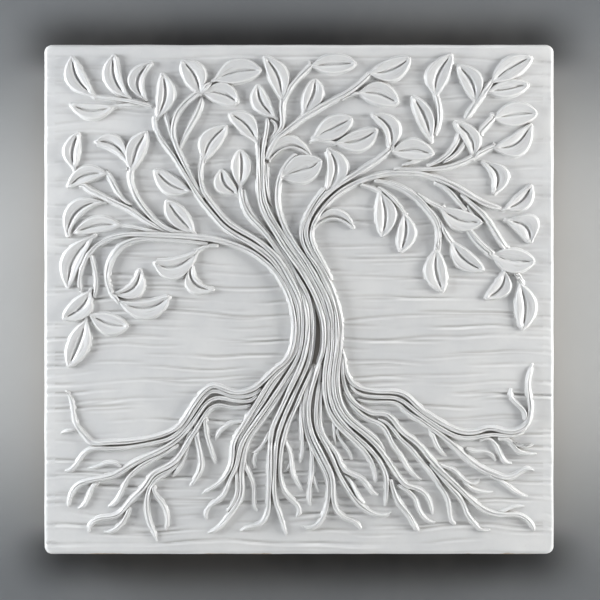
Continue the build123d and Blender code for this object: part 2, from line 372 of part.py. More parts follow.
ROOTS = {
    "root_far_left": [
        ((3, 3.4, 3.2, 3, 3, 2.8, 2), (
            (-30.5, -70.5), (-36, -74), (-44.5, -76), (-52.5, -75.2), (-60, -72.7),
            (-66.7, -71.3), (-72, -74.3), (-78, -81.5), (-84.5, -91.5), (-92, -101.5),
            (-100, -108), (-111, -111.5), (-125, -114), (-139, -115.8), (-153, -116),
            (-163, -117), (-170, -122.5), (-174.5, -129.5), (-182, -134))),
        ((3, 3.4, 3.4, 4, 4.6, 4.4, 3.8, 2), (
            (-33.5, -76), (-41, -79.5), (-51, -78.7), (-60.5, -77), (-67, -77.5), (-73, -82),
            (-80, -92), (-87.5, -102), (-96, -110), (-105.5, -116.5), (-115.5, -121.5),
            (-125, -126), (-135, -132), (-145, -137.5), (-155, -140), (-165, -142),
            (-173.5, -146), (-178, -153), (-180, -161.5))),
        ((2.8, 2.6, 1.6), ((-157, -142), (-163, -149.5), (-166, -157), (-172, -163))),
        ((1.6, 2.4, 1.2), ((-139, -130.5), (-150, -127.8), (-157, -130), (-165, -132))),
        ((1.4, 2, 1.2), ((-174, -103), (-180, -102.5), (-185.5, -104.5))),
    ],
    "root_left": [
        ((2.6, 3, 3.4, 4, 4.4, 4.4, 4, 3.4, 2), (
            (-38, -82.5), (-46.5, -84), (-56.5, -83.5), (-64.5, -82.5), (-71, -87),
            (-77.5, -97), (-84, -107.5), (-90, -117), (-96, -125.5), (-105, -131.5),
            (-114, -136.5), (-119.5, -144.5), (-126.5, -152), (-134, -160), (-140, -167),
            (-149, -170), (-157.5, -171.5), (-162.5, -175.5), (-164, -181))),
        ((3, 3.4, 3.6, 3.8, 3.2, 1.8), (
            (-85, -104), (-88.5, -113), (-92, -122), (-97, -130.5), (-106, -136.5),
            (-113.5, -142), (-117.5, -150), (-119, -160), (-118, -169), (-115, -177.5),
            (-111, -188))),
        ((3.4, 3, 2), (
            (-95, -114), (-108, -121), (-118, -127), (-128, -133.5), (-135, -142),
            (-138.5, -150), (-142, -156.5), (-148, -161.5))),
        ((3, 3, 2), ((-83, -102), (-86, -112), (-89.5, -122), (-93, -130), (-99, -137.5))),
        ((4, 4, 3.6, 2), (
            (-79, -96), (-80, -106), (-78, -116), (-76.5, -126), (-77.5, -134), (-81, -140),
            (-84.5, -145))),
        ((3, 2.8, 1.8), (
            (-73.5, -93), (-72.5, -103), (-70.5, -112), (-68, -119.5), (-65, -127.5))),
        ((2.6, 2.8, 1.8), (
            (-113.5, -146), (-111.5, -153), (-106, -160), (-103, -168), (-104, -179.5))),
        ((3, 2.8, 1.6), ((-132.5, -163), (-137, -172.5), (-143, -179), (-152, -181.5))),
    ],
    "root_lower_left": [
        ((1.6, 3.2, 3.4, 3.2, 3, 1.8), (
            (-4.5, -46.5), (-10.5, -54), (-17, -62.5), (-23, -71.5), (-28.5, -80.5),
            (-34.5, -89.5), (-40, -98), (-45, -106.5), (-48, -115), (-49.5, -123))),
        ((1.6, 3.4, 3.8, 4, 4.2, 4.4, 4, 3, 1.8), (
            (-1, -50.5), (-5, -58), (-10, -66.5), (-15.5, -75.5), (-21.5, -84.5), (-28, -93),
            (-34.5, -101), (-39.5, -109), (-42.5, -118), (-44, -127), (-44.8, -137),
            (-44.5, -147), (-46.5, -156.5), (-52, -165), (-58.5, -173.5), (-65, -179.5),
            (-70.5, -182))),
        ((3, 2.8, 1.8), (
            (-43, -124), (-41, -132), (-37.5, -139.5), (-35.3, -148), (-35.5, -157), (-33, -165))),
        ((2, 3.2, 3, 1.8), (
            (-47.5, -128), (-48.5, -138), (-48, -148), (-50.5, -157), (-55.5, -164.5))),
        ((2.2, 2.4, 1.8), (
            (-44, -95.5), (-51, -96.5), (-58, -99), (-62.5, -104), (-65, -110))),
    ],
    "root_middle_left": [
        ((2, 3.4, 3.6, 3.6, 3.2, 3, 2), (
            (10.5, -53.5), (7, -62), (3, -71), (-0.8, -80), (-5, -89), (-9, -98),
            (-11.5, -107), (-13.8, -117), (-14.8, -128), (-14.8, -138), (-12.5, -147),
            (-8, -154), (-2.5, -159), (0, -163), (-1.5, -169.5))),
        ((2.8, 2.6, 1.4), ((-23, -104.5), (-27, -111.5), (-31.5, -117), (-37.5, -119.8))),
        ((2.4, 1.8), ((-33, -118.5), (-35, -124), (-34.5, -131))),
        ((2.6, 2.6, 1.8), (
            (-11.5, -109), (-8, -117), (-6, -126), (-5.2, -134.5), (-1.5, -142), (2.5, -149))),
        ((2, 1.4), ((-6.5, -127), (-9, -132), (-11.5, -134.5))),
    ],
    "root_middle": [
        ((2, 3, 3.4, 3.6, 3.4, 3.2, 2), (
            (13, -52), (9.5, -61), (6.5, -70), (4.8, -79), (4.3, -88), (4.8, -98),
            (7.2, -108), (12, -118.5), (17.5, -128.5), (22, -137.5), (23.5, -148),
            (22.5, -157.5), (20.3, -166), (16, -174), (9, -178), (2.5, -177))),
        ((1.6, 2.6, 3, 2), (
            (8.5, -64), (4.5, -72), (2, -80), (1.5, -89), (1.7, -99), (2.8, -109),
            (2.5, -119), (0.5, -126.5))),
        ((1.6, 3, 3.4, 3.4, 3.4, 3.4, 2), (
            (17, -52), (16, -62), (14.5, -72), (13.5, -82), (13, -91), (14, -100),
            (17.5, -108.5), (22.5, -117), (26.8, -126), (30.5, -135), (35.5, -144),
            (41, -152.5), (48, -160.5), (56, -166), (64.5, -168.5), (71.5, -166.5))),
        ((2, 3, 3.2, 3, 2.4), (
            (18, -66), (17, -76), (16.6, -86), (16.5, -95), (18.5, -104), (23, -112),
            (28.5, -119.5), (32, -127.5), (37, -134.5), (44, -137.5), (50, -141),
            (55.5, -148), (61, -152.5))),
        ((2.6, 2.8, 1.8), (
            (9, -113), (10.3, -122), (10.5, -132), (9.3, -142), (8, -151), (8.7, -160.5))),
        ((2.4, 1.6), ((11, -139), (13, -145), (15.5, -150))),
        ((2, 3, 2), ((36, -137.5), (41, -143.5), (45, -151.5), (50, -158.5))),
    ],
    "root_lower_right": [
        ((2.6, 1.6), ((27.5, -96.5), (27.5, -105), (28.7, -113.5))),
        ((2.8, 1.8), ((29.5, -101.5), (33, -110), (38, -117), (41.3, -124.5))),
        ((3.4, 4, 3.6, 1.8), (
            (71.5, -142), (74.5, -151), (79, -160), (85.5, -168), (89.5, -175), (93.5, -181.5))),
        ((3, 3, 2.8, 1.6), (
            (77, -144.5), (85, -149.5), (91, -156), (93.5, -164), (98.5, -171), (106, -174))),
    ],
    "root_right": [
        ((2.4, 3.2, 3.4, 3.8, 4.2, 4.4, 4.4, 4, 3.6, 2), (
            (33, -44), (33.8, -54), (34.8, -64), (38.5, -74), (45, -82), (53, -87),
            (61.5, -89.5), (68.5, -90), (74, -95), (79, -102), (86, -107.5), (93.5, -113.5),
            (100, -121.5), (107, -129.5), (115, -138), (123.5, -146), (132, -154.5),
            (141, -162), (150, -166.5), (160, -168), (170, -168), (177.5, -171.5),
            (183.5, -180))),
        ((2.6, 3.2, 3.2, 3.4, 3.4, 2.8, 1.6), (
            (36, -73), (41.5, -82.5), (49, -90), (57, -94.5), (65, -98.5), (69.5, -105),
            (73, -113), (79, -121), (83.5, -129), (89, -136), (95, -140.5))),
        ((2, 3.2, 3.4, 3.4, 3.2, 3, 1.8), (
            (62.5, -93.5), (73.5, -101.5), (79.5, -109), (87, -115.5), (93.5, -123.5),
            (100.5, -132), (107, -140.5), (112.5, -149), (116.5, -157), (117.5, -166),
            (121.5, -175.5))),
        ((2.6, 3.4, 3.6, 3, 1.6), (
            (103, -129.5), (111, -138.5), (119, -147.5), (127, -156.5), (130.5, -165.5),
            (136, -174), (142, -179.5), (149, -179.8))),
        ((2.6, 2.6, 1.4), (
            (107, -128.5), (114, -130.5), (121, -133.5), (127, -139.5), (132.5, -143),
            (141, -141.3))),
        ((2.4, 2.4, 1.4), ((128.5, -141), (134, -147), (141.5, -150), (151, -150.3))),
        ((2, 2.2, 1.2), ((152, -167), (159, -165.3), (165.5, -162.8), (175.5, -161.5))),
    ],
    "root_far_right": [
        ((2.5, 3.4, 3.6, 4, 4, 4, 4, 3.6, 2), (
            (33.5, -40), (35.5, -49), (37.5, -58), (42.5, -66), (52, -70.3), (64, -72),
            (76, -72.5), (84, -75.5), (91, -82), (100, -89.5), (110, -95.8), (120, -101),
            (130, -103.8), (141, -102.5), (150, -100.5), (160, -102.8), (170, -102.3),
            (177, -98), (180, -90), (180.5, -80), (178.7, -70), (179.5, -60), (182.5, -51))),
        ((2, 3, 3.2, 3.4, 3.6, 3.6, 3, 2), (
            (40, -66), (47, -73.5), (57, -75.8), (68, -76.3), (78, -77.8), (86.5, -83.5),
            (96, -91), (106, -98), (116, -104), (126, -107.8), (140, -107.3), (151, -105.5),
            (162, -106.5), (171, -105), (176.5, -101))),
        ((2, 2.8, 3.2, 3.6, 4, 4.4, 4, 3.4, 1.6), (
            (45.5, -78), (56, -80), (67, -80.2), (77, -81.8), (85.5, -88.5), (95, -94.5),
            (103.5, -100.5), (111.5, -106.5), (120, -113.5), (128, -121), (137, -128.5),
            (147, -134), (157, -138), (166, -138.8), (172, -134.5), (177, -132.5),
            (183, -133.5))),
        ((3.4, 3, 1.6), ((102.5, -100.5), (105.5, -108), (108.5, -115), (114.5, -122))),
        ((2.4, 2.4, 1.6), (
            (131, -117), (138.5, -118.8), (146, -118.5), (149.5, -121.5), (153.5, -125.5))),
        ((3, 2.8, 1.4), ((151, -137.5), (160, -143), (168.5, -149.5), (178, -154))),
        ((2.2, 3, 1.6), (
            (142, -109.5), (150.5, -110), (155, -116), (158, -123), (165.5, -128))),
        ((3.4, 3.4, 1.6), (
            (157, -108.5), (164.5, -111), (169.5, -117), (176, -120), (185, -120.5))),
        ((1.6, 2, 1.2), ((166.5, -111.5), (173, -115), (182, -112.8))),
        ((1.8, 2.6, 2.8), ((165.5, -70), (165, -75.5), (170, -81), (175, -86.5), (177, -93))),
    ],
}


# ---- laying the clay pieces on the slab ----------------------------------------------------
def reach_box(face):
    box = face.bounding_box()
    return box.min.X, box.min.Z, box.max.X, box.max.Z


def boxes_meet(one, two):
    return one[0] < two[2] and two[0] < one[2] and one[1] < two[3] and two[1] < one[3]


def pieces_near(spine, spacing, other_spine, other_spacing):
    """Whether two spines come close enough for their outlines to touch."""
    limit = spacing + other_spacing
    for point in spine:
        for other in other_spine:
            if (point - other).length < limit:
                return True
    return False


laid = []


def remember(outline, spine, reach):
    """Keep an outline, so that pieces laid later are trimmed to it."""
    laid.append((outline, reach_box(outline), spine, reach + STATION_PITCH / 2))


def lay(face, spine, reach):
    """Trim a new outline to what is already laid within reach of it, and return the faces left."""
    spacing = reach + STATION_PITCH / 2
    box = reach_box(face)
    cutters = []
    for outline, other_box, other_spine, other_spacing in laid:
        if boxes_meet(box, other_box) and pieces_near(spine, spacing, other_spine, other_spacing):
            cutters.append(outline)
    left_over = face.cut(*cutters) if cutters else face
    kept = left_over.faces() if hasattr(left_over, "faces") else ShapeList(left_over)
    return [part for part in kept if part.area > SMALLEST_SCRAP]


def raise_clay(faces, height):
    return [Solid.extrude(face, Vector(0, -height, 0)) for face in faces]


def lay_leaves(groups, height):
    for name, leaves in groups.items():
        solids = []
        for leaf in leaves:
            face, spine = leaf_face(*leaf)
            grown, _ = leaf_face(*leaf, grow=LEAF_GAP)
            half_length = math.dist(leaf[0], leaf[1]) / 2
            for part in lay(face, spine, half_length):
                slit = part.cut(midrib_face(*leaf)).faces()
                solids += raise_clay([one for one in slit if one.area > SMALLEST_SCRAP], height)
            remember(face, spine, half_length)
            remember(grown, spine, half_length)
        write(name, *solids)


def lay_coils(groups, height):
    for name, coils in groups.items():
        solids = []
        for widths, points in coils:
            face, spine = coil_face(points, widths)
            grown, _ = coil_face(points, widths, grow=LUTING_GAP)
            half_width = max(widths) / 2
            solids += raise_clay(lay(face, spine, half_width), height)
            remember(grown, spine, half_width)
        write(name, *solids)


# ---- the slab and the frame behind it ------------------------------------------------------
def facing_plane(y, z=0.0, x=0.0):
    """A plane parallel to the panel's face, seen from the front."""
    return Plane(origin=(x, y, z), x_dir=(1, 0, 0), z_dir=(0, -1, 0))


def backing_plane(y, z=0.0, x=0.0):
    """A plane parallel to the panel's back, seen from behind."""
    return Plane(origin=(x, y, z), x_dir=(-1, 0, 0), z_dir=(0, 1, 0))


def make_slab():
    widest_y = SLAB_BACK_Y - SLAB_BACK_CHAMFER
    outline = RectangleRounded(PANEL_SIDE, PANEL_SIDE, SLAB_CORNER)
    body = extrude(facing_plane(widest_y) * outline, amount=widest_y - SLAB_FRONT_Y, taper=SLAB_DRAFT)
    body = fillet(body.faces().sort_by(Axis.Y)[0].edges(), SLAB_FRONT_ROUND)
    back = extrude(backing_plane(widest_y) * outline, amount=SLAB_BACK_CHAMFER, taper=45)
    return body + back


def block(x_size, y_low, y_high, z_size, x=0.0, z=0.0):
    middle = Pos(x, (y_low + y_high) / 2, z)
    return middle * Box(x_size, y_high - y_low, z_size)


def rod(radius, y_low, y_high, x, z):
    """A round bar square to the panel."""
    return backing_plane(y_low, z, x) * extrude(Circle(radius), amount=y_high - y_low)


def make_rail(z):
    """A level batten whose lapped ends keep their front half, against the slab."""
    lap_x = (FRAME_SIDE - BATTEN_WIDTH) / 2
    lap_y = SLAB_BACK_Y + FRAME_THICKNESS / 2
    rail = block(FRAME_SIDE, SLAB_BACK_Y, FRAME_BACK_Y, BATTEN_WIDTH, z=z)
    for x in (-lap_x, lap_x):
        rail -= block(BATTEN_WIDTH, lap_y, FRAME_BACK_Y, BATTEN_WIDTH, x, z)
    return rail


def make_stile(x):
    """An upright batten whose lapped ends keep their back half, towards the wall."""
    lap_z = (FRAME_SIDE - BATTEN_WIDTH) / 2
    lap_y = SLAB_BACK_Y + FRAME_THICKNESS / 2
    stile = block(BATTEN_WIDTH, SLAB_BACK_Y, FRAME_BACK_Y, FRAME_SIDE, x=x)
    for z in (-lap_z, lap_z):
        stile -= block(BATTEN_WIDTH, SLAB_BACK_Y, lap_y, BATTEN_WIDTH, x, z)
    return stile


def lap_screw(x, z, grow=0.0):
    """A countersunk screw that holds one corner lap; grow makes the hole it sits in."""
    shank = rod(LAP_SCREW_RADIUS + grow, FRAME_BACK_Y - LAP_SCREW_LENGTH - grow, FRAME_BACK_Y, x, z)
    cone = Cone(LAP_SCREW_RADIUS + grow, LAP_HEAD_RADIUS + grow, LAP_HEAD_DEPTH)
    head = backing_plane(FRAME_BACK_Y - LAP_HEAD_DEPTH / 2, z, x) * cone
    return shank + head


def strap_screw(x, z, grow=0.0):
    """A pan-head screw through a strap; its shank ends in the wood."""
    seat_y = FRAME_BACK_Y + STRAP_GAUGE
    shank = rod(SCREW_RADIUS + grow, FRAME_BACK_Y - SCREW_LENGTH - grow, seat_y, x, z)
    head = rod(SCREW_HEAD_RADIUS, seat_y, seat_y + SCREW_HEAD_HEIGHT, x, z)
    head = fillet(head.faces().sort_by(Axis.Y)[-1].edges(), SCREW_HEAD_HEIGHT * 0.6)
    slot = block(2 * SCREW_HEAD_RADIUS, seat_y + SCREW_HEAD_HEIGHT / 2, WALL_Y, SCREW_SLOT, x, z)
    return shank + (head - slot)


def cut_pilot(batten, x, z):
    """Drill the hole that a strap screw sits in."""
    hole = rod(SCREW_RADIUS + PILOT_CLEARANCE, FRAME_BACK_Y - SCREW_LENGTH - PILOT_CLEARANCE,
               WALL_Y, x, z)
    return batten - hole


def make_strap(x):
    """A steel strip whose end curls round the ring's straight leg."""
    hinge_y = FRAME_BACK_Y + STRAP_GAUGE + LOOP_CLEARANCE + WIRE_RADIUS
    inner = WIRE_RADIUS + LOOP_CLEARANCE
    side = Plane(origin=(x, hinge_y, HANGER_HEIGHT), x_dir=(0, 1, 0), z_dir=(1, 0, 0))
    loop = side * extrude(Circle(inner + STRAP_GAUGE), amount=STRAP_WIDTH / 2, both=True)
    plate = block(STRAP_WIDTH, FRAME_BACK_Y, FRAME_BACK_Y + STRAP_GAUGE, STRAP_LENGTH,
                  x, HANGER_HEIGHT - STRAP_LENGTH / 2)
    low_edges = plate.edges().filter_by(Axis.Y).group_by(Axis.Z)[0]
    strap = fillet(low_edges, STRAP_CORNER) + loop
    strap -= side * extrude(Circle(inner), amount=STRAP_WIDTH, both=True)
    mouth_low = hinge_y - WIRE_RADIUS + LOOP_CLEARANCE
    strap -= block(STRAP_WIDTH + 2, mouth_low, WALL_Y, LOOP_MOUTH,
                   x, HANGER_HEIGHT - inner - STRAP_GAUGE / 2)
    for drop in STRAP_SCREW_DROPS:
        strap -= rod(STRAP_HOLE_RADIUS, SLAB_BACK_Y, WALL_Y, x, HANGER_HEIGHT - drop)
    return strap


def make_ring(x):
    """A D-shaped wire ring: a straight leg in the strap's loop, and a round bow above it."""
    hinge_y = FRAME_BACK_Y + STRAP_GAUGE + LOOP_CLEARANCE + WIRE_RADIUS
    plane = Plane(origin=(x, hinge_y, HANGER_HEIGHT), x_dir=(1, 0, 0), z_dir=(0, -1, 0))
    leg_end = RING_RADIUS - RING_CORNER
    corner_mid = leg_end + RING_CORNER * math.sin(math.radians(45))
    corner_low = RING_CORNER * (1 - math.cos(math.radians(45)))
    path = Wire([
        Line((-leg_end, 0), (leg_end, 0)),
        ThreePointArc((leg_end, 0), (corner_mid, corner_low), (RING_RADIUS, RING_CORNER)),
        Line((RING_RADIUS, RING_CORNER), (RING_RADIUS, RING_RISE)),
        ThreePointArc((RING_RADIUS, RING_RISE), (0, RING_RISE + RING_RADIUS),
                      (-RING_RADIUS, RING_RISE)),
        Line((-RING_RADIUS, RING_RISE), (-RING_RADIUS, RING_CORNER)),
        ThreePointArc((-RING_RADIUS, RING_CORNER), (-corner_mid, corner_low), (-leg_end, 0)),
    ])
    section = Plane(origin=(-leg_end, 0, 0), z_dir=(1, 0, 0)) * Circle(WIRE_RADIUS)
    return plane * sweep(section, path=path)


def make_pad(x, z):
    pad = rod(PAD_RADIUS, FRAME_BACK_Y, WALL_Y, x, z)
    return fillet(pad.faces().sort_by(Axis.Y)[-1].edges(), PAD_EDGE_ROUND)


def build_back():
    offset = (FRAME_SIDE - BATTEN_WIDTH) / 2
    corners = [(x, z) for x in (-offset, offset) for z in (-offset, offset)]
    rails = {"frame_top_rail": make_rail(offset), "frame_bottom_rail": make_rail(-offset)}
    stiles = {"frame_left_stile": make_stile(-offset), "frame_right_stile": make_stile(offset)}
    for x, z in corners:
        hole = lap_screw(x, z, PILOT_CLEARANCE)
        rail_name = "frame_top_rail" if z > 0 else "frame_bottom_rail"
        stile_name = "frame_left_stile" if x < 0 else "frame_right_stile"
        rails[rail_name] -= hole
        stiles[stile_name] -= hole
    strap_screws = []
    for side, x in (("left", -offset), ("right", offset)):
        for drop in STRAP_SCREW_DROPS:
            stile_name = "frame_" + side + "_stile"
            stiles[stile_name] = cut_pilot(stiles[stile_name], x, HANGER_HEIGHT - drop)
            strap_screws.append(strap_screw(x, HANGER_HEIGHT - drop))
        write("hanger_strap_" + side, make_strap(x))
        write("hanging_ring_" + side, make_ring(x))
    for name, batten in {**rails, **stiles}.items():
        write(name, batten)
    write("hanger_screws", *strap_screws)
    write("corner_screws", *[lap_screw(x, z) for x, z in corners])
    write("wall_pads", *[make_pad(x, z) for x in (-PAD_SPREAD, PAD_SPREAD) for z in (-offset, offset)])


write("clay_slab", make_slab())
lay_leaves(LEAVES, LEAF_HEIGHT)
lay_coils(TRUNK, TRUNK_HEIGHT)
lay_coils(LIMBS, LIMB_HEIGHT)
lay_coils(ROOTS, ROOT_HEIGHT)
build_back()
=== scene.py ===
"""Looks for the clay tree of life: every relief piece is modelled over the outline of its CAD node."""

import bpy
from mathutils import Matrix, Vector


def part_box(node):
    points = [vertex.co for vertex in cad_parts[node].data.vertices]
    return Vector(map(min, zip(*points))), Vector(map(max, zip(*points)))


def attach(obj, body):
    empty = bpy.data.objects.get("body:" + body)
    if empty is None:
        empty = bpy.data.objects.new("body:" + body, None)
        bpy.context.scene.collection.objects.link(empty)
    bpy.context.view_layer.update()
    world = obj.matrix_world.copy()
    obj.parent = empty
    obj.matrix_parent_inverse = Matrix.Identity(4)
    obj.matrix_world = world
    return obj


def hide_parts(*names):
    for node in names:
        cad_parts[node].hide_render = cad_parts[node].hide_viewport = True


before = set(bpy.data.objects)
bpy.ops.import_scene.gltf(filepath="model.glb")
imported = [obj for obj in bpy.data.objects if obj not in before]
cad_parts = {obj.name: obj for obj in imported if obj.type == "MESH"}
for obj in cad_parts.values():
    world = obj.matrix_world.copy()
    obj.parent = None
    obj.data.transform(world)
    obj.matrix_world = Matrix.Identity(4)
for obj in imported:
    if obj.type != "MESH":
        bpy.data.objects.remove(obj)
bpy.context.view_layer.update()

import math

import bpy
import numpy as np
from mathutils import Vector
from mathutils.geometry import delaunay_2d_cdt
from mathutils.kdtree import KDTree

MM = 0.001
RELIEF_PREFIXES = ("leaves_", "trunk_coil_", "limb_", "root_")

slab_low, slab_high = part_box("clay_slab")
FACE_Y = slab_low.y / MM
BACK_Y = slab_high.y / MM
HALF_SIDE = slab_high.x / MM


# ---- small number tools ----
def smoothstep(value, low, high):
    """0 below low, 1 above high, and a smooth rise between them."""
    share = np.clip((value - low) / (high - low), 0, 1)
    return share * share * (3 - 2 * share)


def lattice(x, z, seed):
    """A fixed random number from 0 to 1 for each cell of a plane."""
    wave = np.sin(x * 127.1 + z * 311.7 + seed * 74.7) * 43758.5453
    return wave - np.floor(wave)


def ripple(x, z, seed):
    """Smooth gradient noise over a plane, from about -1 to 1, the same on every run."""
    x, z = np.broadcast_arrays(np.asarray(x, float), np.asarray(z, float))
    cell_x, cell_z = np.floor(x), np.floor(z)
    part_x, part_z = x - cell_x, z - cell_z
    ease_x = part_x**3 * (part_x * (part_x * 6 - 15) + 10)
    ease_z = part_z**3 * (part_z * (part_z * 6 - 15) + 10)
    corners = []
    for step_z in (0, 1):
        for step_x in (0, 1):
            angle = lattice(cell_x + step_x, cell_z + step_z, seed) * 2 * math.pi
            corners.append(np.cos(angle) * (part_x - step_x) + np.sin(angle) * (part_z - step_z))
    low = corners[0] + (corners[1] - corners[0]) * ease_x
    high = corners[2] + (corners[3] - corners[2]) * ease_x
    return (low + (high - low) * ease_z) * 1.5


def moving_mean(values, reach):
    """Average over a window of 2 * reach + 1 samples, with the ends held."""
    if reach < 1:
        return values
    padded = np.concatenate([np.repeat(values[:1], reach, 0), values, np.repeat(values[-1:], reach, 0)])
    total = np.cumsum(np.concatenate([np.zeros_like(padded[:1]), padded]), 0)
    window = 2 * reach + 1
    return (total[window:] - total[:-window]) / window


def lengths_along(line):
    """How far along a line each of its points lies."""
    steps = np.hypot(*np.diff(line, axis=0).T)
    return np.concatenate([[0], np.cumsum(steps)])


def unit(vectors):
    """Plane vectors scaled to length 1."""
    return vectors / np.maximum(np.hypot(vectors[:, 0], vectors[:, 1]), 1e-6)[:, None]


def pick(line, places, stations):
    """Points of a line at the given places, where the line's own points lie at stations."""
    return np.stack([np.interp(places, stations, line[:, axis]) for axis in (0, 1)], 1)


def round_end(distance, radius):
    """Half width of a round end of this radius, at a distance from its very tip."""
    return np.sqrt(np.maximum(radius**2 - np.maximum(radius - distance, 0) ** 2, 0))


# ---- outlines of the CAD pieces ----
def shoelace(loop):
    """Area inside a closed outline, below 0 where it runs the other way round."""
    x, z = loop[:, 0], loop[:, 1]
    return 0.5 * np.sum(x * np.roll(z, -1) - np.roll(x, -1) * z)


def front_loops(node):
    """The closed outlines of a relief node's front faces, in mm, seen from the front."""
    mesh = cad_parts[node].data
    flat = np.empty(len(mesh.vertices) * 3, np.float32)
    mesh.vertices.foreach_get("co", flat)
    points = flat.reshape(-1, 3).astype(float) / MM
    front = points[:, 1] < points[:, 1].min() + 0.01
    edges = set()
    for face in mesh.polygons:
        corners = list(face.vertices)
        if all(front[corner] for corner in corners):
            keys = [(round(points[c, 0], 3), round(points[c, 2], 3)) for c in corners]
            edges.update(zip(keys, keys[1:] + keys[:1]))
    onward = {}
    for start, end in sorted(edges):
        if (end, start) not in edges:
            onward.setdefault(start, []).append(end)
    loops = []
    while onward:
        here = first = next(iter(onward))
        loop = []
        while here in onward:
            loop.append(here)
            following = onward[here].pop()
            if not onward[here]:
                del onward[here]
            here = following
            if here == first:
                break
        loops.append(np.array(loop))
    return loops


def even_loop(loop, pitch):
    """A closed outline as an even number of evenly spaced points, without the repeated last one."""
    closed = np.concatenate([loop, loop[:1]])
    along = lengths_along(closed)
    count = 2 * max(12, round(along[-1] / pitch / 2))
    return pick(closed, np.linspace(0, along[-1], count + 1)[:-1], along)


# ---- meshes ----
def put_in_scene(name, data):
    made = bpy.data.objects.new(name, data)
    bpy.context.scene.collection.objects.link(made)
    return made


class Skin:
    """Points, quads and triangles gathered from several closed solids."""

    def __init__(self):
        self.points, self.quads, self.triangles, self.count = [], [], [], 0
        self.grain = []

    def add(self, points, quads, triangles, grain=None):
        if signed_volume(points, quads, triangles) < 0:
            quads, triangles = quads[:, ::-1], triangles[:, ::-1]
        self.points.append(points)
        self.quads.append(quads + self.count)
        self.triangles.append(triangles + self.count)
        self.count += len(points)
        self.grain.append(np.zeros((len(points), 3)) if grain is None else grain)

    def piece(self, name, material):
        """One smooth-shaded object made of everything gathered so far."""
        points = np.concatenate(self.points)
        quads = np.concatenate(self.quads)
        triangles = np.concatenate(self.triangles)
        mesh = bpy.data.meshes.new(name)
        corners = np.concatenate([quads.ravel(), triangles.ravel()]).astype(np.int32)
        sizes = np.concatenate([np.full(len(quads), 4), np.full(len(triangles), 3)])
        starts = np.concatenate([[0], np.cumsum(sizes)[:-1]]).astype(np.int32)
        mesh.vertices.add(len(points))
        mesh.vertices.foreach_set("co", (points * MM).astype(np.float32).ravel())
        mesh.loops.add(len(corners))
        mesh.loops.foreach_set("vertex_index", corners)
        mesh.polygons.add(len(sizes))
        mesh.polygons.foreach_set("loop_start", starts)
        mesh.polygons.foreach_set("use_smooth", np.full(len(sizes), True))
        layer = mesh.attributes.new("grain", "FLOAT_VECTOR", "POINT")
        layer.data.foreach_set("vector", np.concatenate(self.grain).astype(np.float32).ravel())
        mesh.update(calc_edges=True)
        mesh.validate()
        mesh.materials.append(material)
        return put_in_scene(name, mesh)


def signed_volume(points, quads, triangles):
    """Volume inside a closed mesh, below 0 where its faces point inwards."""
    faces = np.concatenate([triangles, quads[:, (0, 1, 2)], quads[:, (0, 2, 3)]])
    a, b, c = points[faces[:, 0]], points[faces[:, 1]], points[faces[:, 2]]
    return np.einsum("ij,ij->i", a, np.cross(b, c)).sum() / 6


def column(spots, depth):
    """One column of a stack of rings: a plane point in each ring, at a depth."""
    return np.stack([spots[:, 0], np.broadcast_to(depth, len(spots)), spots[:, 1]], 1)[:, None]


def loft(rings, lengthwise, seed):
    """A closed skin over a stack of rings, with a fan over each end, and its grain's directions."""
    stations, columns, _ = rings.shape
    index = np.arange(stations * columns).reshape(stations, columns)
    beside = np.roll(index, -1, axis=1)
    quads = np.stack([index[:-1], beside[:-1], beside[1:], index[1:]], -1).reshape(-1, 4)
    first, last = stations * columns, stations * columns + 1
    start_fan = np.stack([beside[0], index[0], np.full(columns, first)], -1)
    end_fan = np.stack([index[-1], beside[-1], np.full(columns, last)], -1)
    points = np.concatenate([rings.reshape(-1, 3), [rings[0].mean(0)], [rings[-1].mean(0)]])
    steps = np.linalg.norm(np.diff(rings, axis=1), axis=2)
    round_ring = np.concatenate([[0], np.cumsum(np.median(steps, axis=0))])
    grain = np.stack(
        [
            np.tile(round_ring, (stations, 1)),
            np.repeat(lengthwise[:, None], columns, axis=1),
            np.full((stations, columns), seed * 0.37),
        ],
        axis=2,
    ).reshape(-1, 3)
    grain = np.concatenate([grain, grain[:1], grain[-1:]])
    return points, quads, np.concatenate([start_fan, end_fan]), grain


# ---- the two sides of a piece ----
def split_at(loop, start, end):
    """The two ways round a closed outline from one point of it to another."""
    count = len(loop)
    steps = (end - start) % count
    one = loop[(start + np.arange(steps + 1)) % count]
    other = loop[(start - np.arange(count - steps + 1)) % count]
    return one, other


def coil_sides(loop):
    """Both sides of a long outline, split where the two ways round stay closest together."""
    count = len(loop)
    steps = np.arange(1, count // 2)
    best, best_gap = 0, np.inf
    for start in range(count // 2):
        gap = loop[(start + steps) % count] - loop[(start - steps) % count]
        mean_gap = np.hypot(gap[:, 0], gap[:, 1]).mean()
        if mean_gap < best_gap:
            best, best_gap = start, mean_gap
    return split_at(loop, best, (best + count // 2) % count)


